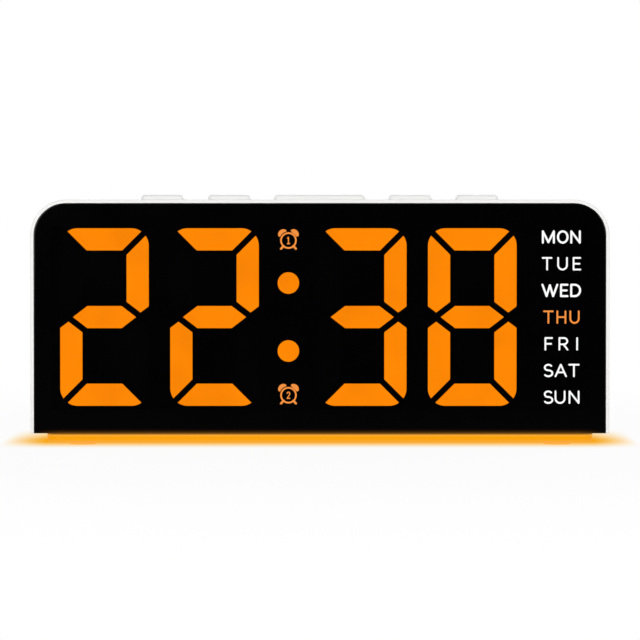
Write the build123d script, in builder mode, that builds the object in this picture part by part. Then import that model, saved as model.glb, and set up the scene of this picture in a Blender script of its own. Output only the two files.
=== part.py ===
from build123d import *
import math
import os

os.makedirs("parts", exist_ok=True)

# A desk clock with a two inch digit display and a night light under it, in millimetres.
# X runs to the right of someone reading it, Y runs to its back, and Z runs up from the table.
# The middle of the case is at X zero and Y zero, and the rubber feet stand on Z zero.

cut_overrun = 1.0         # how far a cut runs past the face that it opens

# Case: a front housing and a tapered rear cover that meet at a seam
case_width = 165.0
case_height = 66.6
case_depth = 42.0
case_corner_radius = 10.2
case_wall = 2.0
case_edge_radius = 0.4
housing_depth = 27.0
rear_side_draw = 3.0      # how far each side leans in on its way to the back
rear_top_draw = 4.0
rear_edge_radius = 3.0
boss_radius = 2.1
boss_inset = 1.8          # from a wall's inner face to the middle of a boss on it

# Base: a milky light plate on rubber feet
foot_gap = 0.9
foot_radius = 4.0
foot_recess = 0.5
foot_edge_radius = 0.3
foot_inset_x = 10.0            # from an end of the plate to the middle of a foot
foot_inset_y = 6.2
diffuser_thickness = 2.5
diffuser_inset = 4.5           # from each end of the case
diffuser_front_inset = 1.3     # from the front and from the back of the case
diffuser_corner_radius = 4.0
diffuser_edge_radius = 0.6
diffuser_channel_depth = 1.0

# Front lens and what stands behind its edge
rim_width = 0.95
lens_gap = 0.1
lens_thickness = 2.0
lens_edge_radius = 0.25
tape_thickness = 0.3
tape_inset = 0.8
tape_overlap = 0.3             # over the edge of the reflector, so that no white shows beside it
front_wall = 1.6
window_gap = 0.4

# Display: four digits of seven bars, two colon dots, two alarm marks and seven weekdays
digit_height = 50.8
digit_gap = 6.0
digit_middle_height = 33.1     # above the underside of the case
colon_gap = 8.375              # from the middle of the colon to the digit beside it
colon_radius = 3.1
colon_offset = 9.7             # of each dot from the middle of the display
bar_width = 6.45
bar_gap = 1.53
digit_corner_radius = 4.8      # round the outside of a digit, cut sharp at the gaps
middle_bar_step = 1.25         # from a side bar's inner edge to the end of the middle bar's straight edge
tip_slope_share = 1.3
outer_tip_slope_share = 0.75
alarm_mark_offset = 22.0
alarm_window_radius = 3.4
weekday_gap = 6.025            # from the last digit to the weekday windows
weekday_pitch = 7.6
weekday_count = 7
weekday_window_width = 13.2
weekday_window_height = 5.8
film_thickness = 0.2
film_margin = 0.8

# Digit reflector and the board behind it
reflector_gap = 0.4            # from the back of the lens to the face of the reflector
reflector_depth = 8.0
reflector_side = 5.7           # from each end of the case
reflector_margin = 1.2         # above and below the digits
reflector_left_margin = 2.625  # beside the first digit
reflector_right_margin = 1.4   # beside the weekday windows
reflector_edge_radius = 0.5
throat_share = 0.6             # size of a well at the board, as a share of its size in front
plug_share = 0.985             # size of a diffuser, as a share of its well
plug_depth = 3.0
plug_recess = 0.1
led_size = 1.6
led_height = 0.7
led_pitch = 6.0                # along the upright bars and in the weekday windows
led_setback = 0.1              # from the corner of a level bar's well
board_thickness = 1.6
display_board_gap = 0.5        # to the walls of the housing
display_boss_radius = 1.9
display_boss_inset = 2.2
display_boss_low_x = 30.0      # of the lower pair
display_boss_side = 10.5       # from each end of the case to one of the upper pair
notch_gap = 0.6
driver_length = 18.0
driver_width = 7.5
driver_height = 2.3
driver_x = 20.0
driver_rise = 18.0             # above the middle of the display, for the chip on the board's back
pin_pitch = 1.27
pin_width = 0.45
pin_reach = 1.4
pin_height = 0.3
pin_count = 14

# Buttons on the top, with the switches under them
button_rise = 1.4
button_depth = 8.0
button_setback = 18.0          # from the front of the case to the middle of the buttons
button_gap = 0.2
button_corner_radius = 1.6
button_top_radius = 1.2
button_wall = 1.2
button_travel = 0.6
flange_thickness = 1.2
flange_gap = 0.2
flange_side = 0.8
flange_front = 1.2
stem_radius = 1.8
stem_length = 2.0
small_button_width = 12.4
snooze_width = 26.4
inner_button_x = 26.05
outer_button_x = 45.3
switch_size = 6.0
switch_height = 3.5
switch_bore_gap = 0.2          # under the plunger when its button is pressed home
plunger_radius = 1.75
plunger_gap = 0.08
plunger_rise = 1.4
plunger_seat = 1.0
thin_board = 1.2
button_board_length = 122.0
button_board_width = 11.0
button_boss_xs = (16.5, 57.5)

# Screws: the self-tapping ones of the case and the small ones of the boards
case_screw_side = 16.5         # from each end of the case
case_screw_radius = 1.2
case_screw_length = 11.0
case_screw_head_radius = 2.3
case_screw_head_height = 1.8
case_screw_seat = 2.6          # thickness that the head clamps
screw_gap = 0.3
thread_gap = 0.04
tube_wall = 1.0
small_screw_radius = 0.8
small_screw_length = 5.0
small_screw_head_radius = 1.7
small_screw_head_height = 1.2
drive_reach_share = 0.56       # of a head's radius, for each arm of its cross recess
drive_width_share = 0.3
drive_depth = 0.6
base_screw_x = 45.0
base_screw_front_inset = 5.7   # from the edge of the plate
base_screw_rear_inset = 4.0
base_boss_height = 4.0

# Seam between the housing and the rear cover
lip_length = 2.0
lip_thickness = 1.2
lip_gap = 0.15
lip_root = 2.0
lip_bite = 0.3                 # how far the root of the lip is sunk into the wall
seam_line_width = 0.4          # of the shadow line round the case
seam_line_depth = 0.25
hook_side = 16.5               # from each end of the case
hook_width = 9.0
hook_length = 3.5
hook_thickness = 1.2
hook_barb = 0.6
hook_barb_length = 1.2
hook_gap = 0.2

# Battery bay in the rear cover, with a coin cell behind a tip-out door
cell_x = -42.0
cell_height = 30.1             # middle of the cell above the underside of the case
cell_radius = 10.0
cell_thickness = 3.2
cell_side_gap = 0.6
cell_rim = 0.5
bay_depth = 5.0                # from the inside of the door to the floor of the bay
bay_wall = 1.6
contact_rise = 0.8
contact_thickness = 0.25
contact_width = 4.0
contact_length = 14.0
clip_angle = 40.0
clip_thickness = 0.3
clip_gap = 0.15
door_width = 28.0
door_height = 33.0
door_thickness = 1.6
door_gap = 0.3
door_corner_radius = 2.0
door_drop = 14.0               # from the middle of the cell down to the lower edge of the door
door_edge_radius = 0.3
ledge = 2.4                    # of the cover round the door
rib_radius = 6.0
rib_width = 1.0
rib_height = 0.8
tab_x = 8.0
tab_width = 5.0
tab_thickness = 1.2
tab_reach = 1.8
tab_root = 2.0
tab_gap = 0.3
tab_slot_height = 4.5
grip_width = 12.0
grip_height = 0.8
grip_depth = 0.5
grip_pitch = 1.8
grip_count = 4
door_screw_drop = 4.1          # from the upper edge of the door
door_screw_radius = 1.0
door_screw_length = 2.6
door_screw_head_radius = 1.9
door_screw_head_height = 0.9
door_screw_gap = 0.5

# Sounder behind a grille in the rear cover
sounder_x = 44.0
sounder_height = 34.6          # middle of it above the underside of the case
sounder_radius = 11.0
sounder_rim = 1.2
sounder_cone_radius = 8.5
sounder_cone_depth = 2.2
sounder_magnet_radius = 5.5
sounder_magnet_depth = 1.5
sounder_gap = 0.15
sounder_ring_wall = 1.2
sounder_ring_depth = 4.0
grille_hole_radius = 0.8
grille_pitch = 3.2
grille_rings = 2
holes_in_first_ring = 6

# Main board, flat above the floor of the case, with the power socket at its back edge
main_board_height = 9.0        # underside of the board above the underside of the case
main_board_left = -38.0
main_board_right = 62.0
main_board_front_gap = 7.0     # of its front edge before the seam
main_board_rear_gap = 0.4
main_boss_radius = 2.5
main_boss_xs = (-22.0, 54.0)
main_boss_gap = 5.0            # to the inside of the back
main_post_radius = 2.0
main_post_gap = 4.5            # before the seam
chip_size = 10.0
chip_height = 1.4
chip_x = 50.0
chip_y = 6.0
crystal_length = 11.0
crystal_width = 4.6
crystal_height = 3.5
crystal_x = 38.0
crystal_y = 5.0
crystal_edge_radius = 0.5
capacitor_radius = 3.15
capacitor_height = 7.7
capacitor_xs = (-21.0, -12.0)
capacitor_gap = 6.0            # from the middles of the board's bosses
capacitor_groove = 0.35
capacitor_groove_height = 1.6
usb_width = 8.94
usb_height = 3.26
usb_length = 7.4
usb_wall = 0.3
usb_gap = 0.35
usb_setback = 0.4              # of its mouth behind the back of the case
usb_x = 0.0
tongue_width = 6.7
tongue_thickness = 0.7
tongue_setback = 0.9
tongue_base = 1.2

# Night light board on the floor of the case
light_board_gap = 8.0          # from each end of the board to the middle of a case screw
light_board_width = 6.0
light_board_setback = 17.0     # its middle, behind the front of the case
light_count = 9
light_end = 8.4                # from the last lamp to the end of the board
light_led_length = 3.5
light_led_width = 2.8
light_led_height = 0.8
light_slot_gap = 0.8

# Ribbons and wires
connector_height = 4.0
connector_depth = 4.2
connector_side = 1.2
ribbon_thickness = 0.9
display_ribbon_width = 12.0
display_ribbon_x = 8.0
display_ribbon_y = 4.0
display_ribbon_rise = 12.0     # from the connector on the main board to the bend
display_ribbon_bend = 4.0
button_ribbon_width = 8.0
button_ribbon_x = 26.0
button_ribbon_y = 4.0
button_ribbon_bend = 5.0
button_ribbon_rise = 22.0
button_ribbon_slant = 8.0
wire_diameter = 1.2
wire_bend = 1.4
wire_pitch = 2.5
sounder_wire_x = 40.5
sounder_wire_gap = 2.95        # in front of the magnet
sounder_wire_drop = 2.0
cell_wire_x = -36.5
cell_wire_gap = 4.8            # in front of the battery bay
cell_wire_drop = 6.5
light_wire_x = 18.0
light_wire_reach = 7.0         # from the middle of the board to the wires' rise
light_wire_rise = 3.0

# Faces and levels that several pieces share
case_bottom = foot_gap + diffuser_thickness
case_top = case_bottom + case_height
floor_z = case_bottom + case_wall
ceiling_z = case_top - case_wall
front_y = -case_depth / 2
back_y = case_depth / 2
seam_y = front_y + housing_depth
rear_wall_y = back_y - case_wall
lens_back_y = front_y + lens_thickness
front_wall_y = lens_back_y + tape_thickness
front_wall_back_y = front_wall_y + front_wall
button_y = front_y + button_setback
diffuser_width = case_width - 2 * diffuser_inset
diffuser_depth = case_depth - 2 * diffuser_front_inset
foot_x = diffuser_width / 2 - foot_inset_x
foot_y = diffuser_depth / 2 - foot_inset_y
base_screw_front_y = base_screw_front_inset - diffuser_depth / 2
base_screw_rear_y = diffuser_depth / 2 - base_screw_rear_inset
case_screw_x = case_width / 2 - case_screw_side
hook_x = case_width / 2 - hook_side
display_boss_xs = (display_boss_low_x, case_width / 2 - display_boss_side)
light_board_length = 2 * (case_screw_x - light_board_gap)
light_board_y = front_y + light_board_setback
light_wire_y = light_board_y + light_wire_reach
light_pitch = (light_board_length - 2 * light_end) / (light_count - 1)
lens_width = case_width - 2 * (rim_width + lens_gap)
lens_top = case_top - rim_width - lens_gap
lens_radius = case_corner_radius - rim_width - lens_gap
middle_z = case_bottom + digit_middle_height
reflector_y = lens_back_y + reflector_gap
display_board_y = reflector_y + reflector_depth
display_board_back_y = display_board_y + board_thickness
reflector_width = case_width - 2 * reflector_side
reflector_height = digit_height + 2 * reflector_margin
reflector_left = -reflector_width / 2
all_gaps = 2 * digit_gap + 2 * colon_gap + weekday_gap + reflector_left_margin + reflector_right_margin
digit_width = (reflector_width - weekday_window_width - all_gaps) / 4
window_width = reflector_width + 2 * window_gap
window_height = reflector_height + 2 * window_gap
digit_pitch = digit_width + digit_gap
first_digit_x = reflector_left + reflector_left_margin + digit_width / 2
hour_x = first_digit_x + digit_pitch
colon_x = hour_x + digit_width / 2 + colon_gap
minute_x = colon_x + colon_gap + digit_width / 2
digit_xs = (first_digit_x, hour_x, minute_x, minute_x + digit_pitch)
weekday_x = reflector_width / 2 - reflector_right_margin - weekday_window_width / 2
shown_time = (2, 2, 3, 8)
case_boss_z = floor_z + boss_inset
case_boss_end_y = seam_y - lip_length - lip_gap
case_head_y = case_boss_end_y + lip_gap + case_screw_seat
flange_top = ceiling_z - flange_gap
flange_bottom = flange_top - flange_thickness
button_top = case_top + button_rise
stem_bottom = flange_bottom - stem_length
switch_top = stem_bottom - plunger_rise
switch_bore_depth = plunger_seat + button_travel + switch_bore_gap
button_board_top = switch_top - switch_height
button_board_bottom = button_board_top - thin_board
main_board_bottom = case_bottom + main_board_height
main_board_top = main_board_bottom + board_thickness
main_board_back_y = rear_wall_y - main_board_rear_gap
main_board_front_y = seam_y - main_board_front_gap
main_boss_y = rear_wall_y - main_boss_gap
capacitor_y = main_boss_y - capacitor_gap
main_post_y = seam_y - main_post_gap
usb_z = main_board_top + usb_height / 2
usb_mouth_y = back_y - usb_setback
cell_z = case_bottom + cell_height
door_bottom = cell_z - door_drop
door_top = door_bottom + door_height
door_z = (door_bottom + door_top) / 2
door_inside_y = back_y - door_thickness
bay_floor_y = door_inside_y - bay_depth
bay_front_y = bay_floor_y - bay_wall
bay_radius = cell_radius + cell_side_gap
cell_wire_y = bay_front_y - cell_wire_gap
cell_front_y = bay_floor_y + contact_rise
cell_back_y = cell_front_y + cell_thickness
door_screw_z = door_top - door_screw_drop
ledge_front_y = door_inside_y - bay_wall
sounder_z = case_bottom + sounder_height
sounder_back_y = rear_wall_y - sounder_gap
cone_start_y = sounder_back_y - sounder_rim
magnet_y = cone_start_y - sounder_cone_depth - sounder_magnet_depth
sounder_wire_y = magnet_y - sounder_wire_gap
light_board_top = floor_z + thin_board


def upright(y, x=0, z=0):
    # The upright plane at depth y, drawn as it is seen from the front
    return Plane((x, y, z), x_dir=(1, 0, 0), z_dir=(0, -1, 0))


def arched(width, bottom, top, radius, mode=Mode.ADD):
    # An upright outline with two round shoulders and square lower corners
    with BuildSketch(mode=Mode.PRIVATE) as outline:
        with Locations((0, (bottom + top) / 2)):
            Rectangle(width, top - bottom)
        fillet(outline.vertices().group_by(Axis.Y)[-1], radius)
    add(outline.sketch, mode=mode)


def case_outline(inset, mode=Mode.ADD):
    # The outline of the case, drawn in by an inset on all four sides
    arched(case_width - 2 * inset, case_bottom + inset, case_top - inset, case_corner_radius - inset, mode)


def finish(piece, name):
    piece.part.label = name
    export_step(piece.part, f"parts/{name}.step")


# Corners of the bars about the middle of a digit, and the middle of each bar
half_width = digit_width / 2
half_height = digit_height / 2
mitre = bar_gap / math.sqrt(2)
slope_gap = bar_gap * math.sqrt(tip_slope_share**2 + 1) / tip_slope_share
side_inner_x = half_width - bar_width
middle_bar_flat = side_inner_x - middle_bar_step
side_inner_z = bar_width / 2 - (side_inner_x - middle_bar_flat) / tip_slope_share + slope_gap
side_tip_x = middle_bar_flat + tip_slope_share * (bar_width / 2 + slope_gap - mitre)
side_outer_z = mitre + outer_tip_slope_share * (half_width - side_tip_x)
middle_tip_x = middle_bar_flat + tip_slope_share * bar_width / 2

bar_shapes = {
    "across": (
        [
            (mitre - half_width, half_height),
            (half_width - mitre, half_height),
            (side_inner_x - mitre, half_height - bar_width),
            (mitre - side_inner_x, half_height - bar_width),
        ],
        (0, half_height - bar_width / 2),
    ),
    "side": (
        [
            (half_width, half_height - mitre),
            (half_width, side_outer_z),
            (side_tip_x, mitre),
            (side_inner_x, side_inner_z),
            (side_inner_x, half_height - mitre - bar_width),
        ],
        (half_width - bar_width / 2, half_height / 2),
    ),
    "middle": (
        [
            (-middle_tip_x, 0),
            (-middle_bar_flat, bar_width / 2),
            (middle_bar_flat, bar_width / 2),
            (middle_tip_x, 0),
            (middle_bar_flat, -bar_width / 2),
            (-middle_bar_flat, -bar_width / 2),
        ],
        (0, 0),
    ),
}
# Each bar is one of those shapes, mirrored to the right or left and up or down
bars = {
    "top": ("across", 1, 1),
    "upper_left": ("side", -1, 1),
    "upper_right": ("side", 1, 1),
    "middle": ("middle", 1, 1),
    "lower_left": ("side", -1, -1),
    "lower_right": ("side", 1, -1),
    "bottom": ("across", 1, -1),
}
bars_of_numeral = {
    2: ("top", "upper_right", "middle", "lower_left", "bottom"),
    3: ("top", "upper_right", "middle", "lower_right", "bottom"),
    8: tuple(bars),
}


def draw_bar(bar, share):
    # One bar of a digit, shrunk about its own middle to a share of its size
    shape, right, up = bars[bar]
    corners, (middle_x, middle_y) = bar_shapes[shape]
    placed = [
        ((middle_x + (x - middle_x) * share) * right, (middle_y + (y - middle_y) * share) * up)
        for x, y in corners
    ]
    with BuildSketch(mode=Mode.PRIVATE) as drawing:
        with BuildLine():
            Polyline(*placed, close=True)
        make_face()
        with Locations((middle_x * (1 - share) * right, middle_y * (1 - share) * up)):
            RectangleRounded(
                digit_width * share, digit_height * share, digit_corner_radius * share, mode=Mode.INTERSECT
            )
    add(drawing.sketch)


def share_at(depth):
    # How far a well has narrowed at a depth behind the face of the reflector
    return 1 - (1 - throat_share) * depth / reflector_depth


def loft_bar(bar, digit_x, front_depth, back_depth, fit_share):
    sections = []
    for depth in (front_depth, back_depth):
        with BuildSketch(upright(reflector_y + depth, digit_x, middle_z)) as section:
            draw_bar(bar, share_at(depth) * fit_share)
        sections.append(section.sketch)
    loft(sections, ruled=True)


weekday_places = [
    (weekday_x, middle_z + (row - (weekday_count - 1) / 2) * weekday_pitch) for row in range(weekday_count)
]
colon_places = [(colon_x, middle_z + side * colon_offset) for side in (-1, 1)]
alarm_places = [(colon_x, middle_z + side * alarm_mark_offset) for side in (-1, 1)]
buttons = {
    "alarm_one_button": (-outer_button_x, small_button_width),
    "set_button": (-inner_button_x, small_button_width),
    "snooze_bar": (0, snooze_width),
    "alarm_two_button": (inner_button_x, small_button_width),
    "light_button": (outer_button_x, small_button_width),
}
light_places = [
    ((number - (light_count - 1) / 2) * light_pitch, light_board_y) for number in range(light_count)
]
base_screw_places = [
    (side * base_screw_x, y) for side in (-1, 1) for y in (base_screw_front_y, base_screw_rear_y)
]
display_boss_places = [
    (side * x, z)
    for side in (-1, 1)
    for x, z in zip(display_boss_xs, (floor_z + display_boss_inset, ceiling_z - display_boss_inset))
]

# Main housing: an arched tub, open at the back, whose front wall frames the display
with BuildPart() as main_housing:
    with BuildSketch(upright(front_y)):
        case_outline(0)
    extrude(amount=-housing_depth)
    fillet(main_housing.faces().sort_by(Axis.Y)[0].edges(), radius=case_edge_radius)
    with BuildSketch(upright(seam_y)):
        case_outline(case_wall)
    extrude(amount=seam_y - front_wall_back_y, mode=Mode.SUBTRACT)
    with BuildSketch(upright(front_y)):
        arched(
            lens_width + 2 * lens_gap, case_bottom - cut_overrun, lens_top + lens_gap, lens_radius + lens_gap
        )
    extrude(amount=front_y - front_wall_y, mode=Mode.SUBTRACT)
    with BuildSketch(upright(front_y, 0, middle_z)):
        RectangleRounded(window_width, window_height, reflector_edge_radius + window_gap)
    extrude(amount=front_y - front_wall_back_y - cut_overrun, mode=Mode.SUBTRACT)
    # Openings for the buttons and for the night light
    with BuildSketch(Plane.XY.offset(case_top)):
        for button_x, button_width in buttons.values():
            with Locations((button_x, button_y)):
                RectangleRounded(
                    button_width + 2 * button_gap,
                    button_depth + 2 * button_gap,
                    button_corner_radius + button_gap,
                )
    extrude(amount=-case_wall - flange_gap, mode=Mode.SUBTRACT)
    with BuildSketch(Plane.XY.offset(case_bottom)):
        with Locations(*light_places):
            RectangleRounded(
                light_led_length + 2 * light_slot_gap, light_led_width + 2 * light_slot_gap, light_slot_gap
            )
    extrude(amount=case_wall, mode=Mode.SUBTRACT)
    # Bosses for the case screws, the display board, the button board and the base plate
    with BuildSketch(upright(front_wall_back_y)):
        with Locations((-case_screw_x, case_boss_z), (case_screw_x, case_boss_z)):
            Circle(boss_radius)
    extrude(amount=front_wall_back_y - case_boss_end_y)
    with BuildSketch(upright(front_wall_back_y)):
        with Locations(*display_boss_places):
            Circle(display_boss_radius)
    extrude(amount=front_wall_back_y - display_board_y)
    with BuildSketch(Plane.XY.offset(ceiling_z)):
        with Locations(*[(side * x, button_y) for side in (-1, 1) for x in button_boss_xs]):
            Circle(boss_radius)
    extrude(amount=button_board_top - ceiling_z)
    with BuildSketch(Plane.XY.offset(floor_z)):
        with Locations(*[place for place in base_screw_places if place[1] < seam_y]):
            Circle(boss_radius)
    extrude(amount=base_boss_height)
    with BuildSketch(Plane.XY.offset(floor_z)):
        with Locations(*[(x, main_post_y) for x in main_boss_xs]):
            Circle(main_post_radius)
    extrude(amount=main_board_bottom - floor_z)
    # Pilot holes in the bosses
    with BuildSketch(upright(case_boss_end_y)):
        with Locations((-case_screw_x, case_boss_z), (case_screw_x, case_boss_z)):
            Circle(case_screw_radius + thread_gap)
    extrude(amount=case_screw_length, mode=Mode.SUBTRACT)
    with BuildSketch(upright(display_board_y)):
        with Locations(*display_boss_places):
            Circle(small_screw_radius + thread_gap)
    extrude(amount=small_screw_length, mode=Mode.SUBTRACT)
    with BuildSketch(Plane.XY.offset(button_board_top)):
        with Locations(*[(side * x, button_y) for side in (-1, 1) for x in button_boss_xs]):
            Circle(small_screw_radius + thread_gap)
    extrude(amount=small_screw_length, mode=Mode.SUBTRACT)
    with BuildSketch(Plane.XY.offset(case_bottom)):
        with Locations(*[place for place in base_screw_places if place[1] < seam_y]):
            Circle(small_screw_radius + thread_gap)
    extrude(amount=small_screw_length, mode=Mode.SUBTRACT)
    # Pockets in the underside of the top for the hooks of the rear cover
    with BuildSketch(Plane.XY.offset(ceiling_z)):
        with Locations(*[(side * hook_x, seam_y - hook_length + hook_barb_length / 2) for side in (-1, 1)]):
            Rectangle(hook_width + 2 * hook_gap, hook_barb_length + 2 * hook_gap)
    extrude(amount=hook_barb + hook_gap, mode=Mode.SUBTRACT)
finish(main_housing, "main_housing")

# Rear cover: a tray that leans in towards the back, with a lip and two hooks at the seam
with BuildPart() as rear_cover:
    with BuildSketch(upright(seam_y)):
        case_outline(0)
    with BuildSketch(upright(back_y)):
        arched(case_width - 2 * rear_side_draw, case_bottom, case_top - rear_top_draw, case_corner_radius)
    loft(ruled=True)
    rear_edges = rear_cover.faces().sort_by(Axis.Y)[-1].edges()
    fillet(rear_edges.sort_by(Axis.Z)[1:], radius=rear_edge_radius)
    offset(amount=-case_wall, openings=rear_cover.faces().sort_by(Axis.Y)[0])
    with BuildSketch(upright(seam_y)):
        case_outline(case_wall - lip_bite)
        case_outline(case_wall + lip_gap + lip_thickness, mode=Mode.SUBTRACT)
    extrude(amount=-lip_root)
    with BuildSketch(upright(seam_y)):
        case_outline(case_wall + lip_gap)
        case_outline(case_wall + lip_gap + lip_thickness, mode=Mode.SUBTRACT)
    extrude(amount=lip_length)
    # A shadow line round the case along the seam
    with BuildSketch(upright(seam_y)):
        case_outline(-cut_overrun)
        case_outline(seam_line_depth, mode=Mode.SUBTRACT)
    extrude(amount=-seam_line_width, mode=Mode.SUBTRACT)
    # Hooks that click under the top of the housing
    with BuildSketch(Plane.YZ.offset(-hook_x - hook_width / 2)) as hook_profile:
        hook_top = ceiling_z - lip_gap
        hook_tip_y = seam_y - hook_length
        with BuildLine():
            Polyline(
                (seam_y + lip_root, hook_top),
                (hook_tip_y + hook_barb_length, hook_top),
                (hook_tip_y + hook_barb_length, hook_top + hook_barb),
                (hook_tip_y, hook_top),
                (hook_tip_y, hook_top - hook_thickness),
                (seam_y + lip_root, hook_top - hook_thickness),
                close=True,
            )
        make_face()
    extrude(amount=hook_width)
    with BuildSketch(Plane.YZ.offset(hook_x - hook_width / 2)):
        add(hook_profile.sketch_local)
    extrude(amount=hook_width)
    # Tubes for the case screws, and bosses for the boards and the base plate
    with BuildSketch(upright(rear_wall_y + cut_overrun)):
        with Locations((-case_screw_x, case_boss_z), (case_screw_x, case_boss_z)):
            Circle(case_screw_head_radius + screw_gap + tube_wall)
    extrude(amount=rear_wall_y + cut_overrun - seam_y)
    with BuildSketch(upright(seam_y)):
        with Locations((-case_screw_x, case_boss_z), (case_screw_x, case_boss_z)):
            Circle(case_screw_head_radius + screw_gap)
        with Locations((0, case_bottom)):
            Rectangle(case_width, 2 * (case_wall + lip_gap), mode=Mode.SUBTRACT)
    extrude(amount=seam_y - case_boss_end_y - lip_gap)
    with BuildSketch(Plane.XY.offset(floor_z)):
        with Locations(*[(x, main_boss_y) for x in main_boss_xs]):
            Circle(main_boss_radius)
    extrude(amount=main_board_bottom - floor_z)
    with BuildSketch(Plane.XY.offset(floor_z)):
        with Locations(*[place for place in base_screw_places if place[1] > seam_y]):
            Circle(boss_radius)
    extrude(amount=base_boss_height)
    with BuildSketch(upright(back_y)):
        with Locations((-case_screw_x, case_boss_z), (case_screw_x, case_boss_z)):
            Circle(case_screw_radius + screw_gap)
    extrude(amount=back_y - case_boss_end_y + cut_overrun, mode=Mode.SUBTRACT)
    with BuildSketch(upright(back_y)):
        with Locations((-case_screw_x, case_boss_z), (case_screw_x, case_boss_z)):
            Circle(case_screw_head_radius + screw_gap)
    extrude(amount=back_y - case_head_y, mode=Mode.SUBTRACT)
    with BuildSketch(Plane.XY.offset(main_board_bottom)):
        with Locations(*[(x, main_boss_y) for x in main_boss_xs]):
            Circle(small_screw_radius + thread_gap)
    extrude(amount=-small_screw_length, mode=Mode.SUBTRACT)
    with BuildSketch(Plane.XY.offset(case_bottom)):
        with Locations(*[place for place in base_screw_places if place[1] > seam_y]):
            Circle(small_screw_radius + thread_gap)
    extrude(amount=small_screw_length, mode=Mode.SUBTRACT)
    # Battery bay: a round cup behind a ledge that the door lies in
    with BuildSketch(upright(rear_wall_y + cut_overrun, cell_x, door_z)):
        RectangleRounded(
            door_width + 2 * (door_gap + ledge),
            door_height + 2 * (door_gap + ledge),
            door_corner_radius + ledge,
        )
    extrude(amount=rear_wall_y + cut_overrun - ledge_front_y)
    with BuildSketch(upright(ledge_front_y, cell_x, cell_z)):
        Circle(bay_radius + bay_wall)
    extrude(amount=ledge_front_y - bay_front_y)
    with BuildSketch(upright(back_y, cell_x, cell_z)):
        Circle(bay_radius)
    extrude(amount=back_y - bay_floor_y, mode=Mode.SUBTRACT)
    with BuildSketch(upright(back_y, cell_x, door_z)):
        RectangleRounded(
            door_width + 2 * door_gap, door_height + 2 * door_gap, door_corner_radius + door_gap
        )
    extrude(amount=door_thickness, mode=Mode.SUBTRACT)
    with BuildSketch(upright(door_inside_y, cell_x, door_bottom)):
        slot_low = -tab_reach - 2 * tab_gap
        slot_high = tab_slot_height
        with Locations(*[(side * tab_x, (slot_low + slot_high) / 2) for side in (-1, 1)]):
            Rectangle(tab_width + 2 * tab_gap, slot_high - slot_low)
    extrude(amount=bay_wall + cut_overrun, mode=Mode.SUBTRACT)
    with BuildSketch(upright(door_inside_y, cell_x, door_screw_z)):
        Circle(door_screw_radius + door_screw_gap)
    extrude(amount=bay_wall + cut_overrun, mode=Mode.SUBTRACT)
    # Seat and grille for the sounder, and the mouth for the power socket
    with BuildSketch(upright(rear_wall_y + cut_overrun, sounder_x, sounder_z)):
        Circle(sounder_radius + sounder_gap + sounder_ring_wall)
        Circle(sounder_radius + sounder_gap, mode=Mode.SUBTRACT)
    extrude(amount=cut_overrun + sounder_ring_depth)
    with BuildSketch(upright(back_y, sounder_x, sounder_z)):
        Circle(grille_hole_radius)
        for ring in range(1, grille_rings + 1):
            with PolarLocations(ring * grille_pitch, ring * holes_in_first_ring):
                Circle(grille_hole_radius)
    extrude(amount=case_wall + cut_overrun, mode=Mode.SUBTRACT)
    with BuildSketch(upright(back_y, usb_x, usb_z)):
        SlotOverall(usb_width + 2 * usb_gap, usb_height + 2 * usb_gap)
    extrude(amount=case_wall + cut_overrun, mode=Mode.SUBTRACT)
finish(rear_cover, "rear_cover")

# Front lens and the adhesive frame behind it
with BuildPart() as front_lens:
    with BuildSketch(upright(front_y)):
        arched(lens_width, case_bottom, lens_top, lens_radius)
    extrude(amount=-lens_thickness)
    fillet(front_lens.faces().sort_by(Axis.Y)[0].edges(), radius=lens_edge_radius)
finish(front_lens, "front_lens")

with BuildPart() as lens_tape:
    with BuildSketch(upright(lens_back_y)):
        arched(
            lens_width - 2 * tape_inset,
            case_bottom + tape_inset,
            lens_top - tape_inset,
            lens_radius - tape_inset,
        )
        with Locations((0, middle_z)):
            RectangleRounded(
                reflector_width - 2 * tape_overlap,
                reflector_height - 2 * tape_overlap,
                reflector_edge_radius,
                mode=Mode.SUBTRACT,
            )
    extrude(amount=-tape_thickness)
finish(lens_tape, "lens_tape")

# Digit reflector: wells that narrow from each bar of the display to its lamps
with BuildPart() as bar_wells:
    for digit_x in digit_xs:
        for bar in bars:
            loft_bar(bar, digit_x, 0, reflector_depth, 1)

with BuildPart() as digit_reflector:
    with BuildSketch(upright(reflector_y, 0, middle_z)):
        RectangleRounded(reflector_width, reflector_height, reflector_edge_radius)
    extrude(amount=-reflector_depth)
    add(bar_wells.part, mode=Mode.SUBTRACT)
    with BuildSketch(upright(reflector_y)):
        with Locations(*colon_places):
            Circle(colon_radius)
        with Locations(*alarm_places):
            Circle(alarm_window_radius)
        with Locations(*weekday_places):
            RectangleRounded(weekday_window_width, weekday_window_height, reflector_edge_radius)
    extrude(amount=-reflector_depth, mode=Mode.SUBTRACT)
finish(digit_reflector, "digit_reflector")

# Diffusers cast into the wells: the bars that show the time, and the others
for name, wanted in (("lit_bars", True), ("unlit_bars", False)):
    with BuildPart() as bar_plugs:
        for digit_x, numeral in zip(digit_xs, shown_time):
            for bar in bars:
                if (bar in bars_of_numeral[numeral]) == wanted:
                    loft_bar(bar, digit_x, plug_recess, plug_depth, plug_share)
    finish(bar_plugs, name)

with BuildPart() as colon_dots:
    with BuildSketch(upright(reflector_y + plug_recess)):
        with Locations(*colon_places):
            Circle(colon_radius * plug_share)
    extrude(amount=plug_recess - plug_depth)
finish(colon_dots, "colon_dots")

with BuildPart() as alarm_windows:
    with BuildSketch(upright(reflector_y)):
        with Locations(*alarm_places):
            Circle(alarm_window_radius * plug_share)
    extrude(amount=-plug_depth)
finish(alarm_windows, "alarm_windows")

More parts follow.
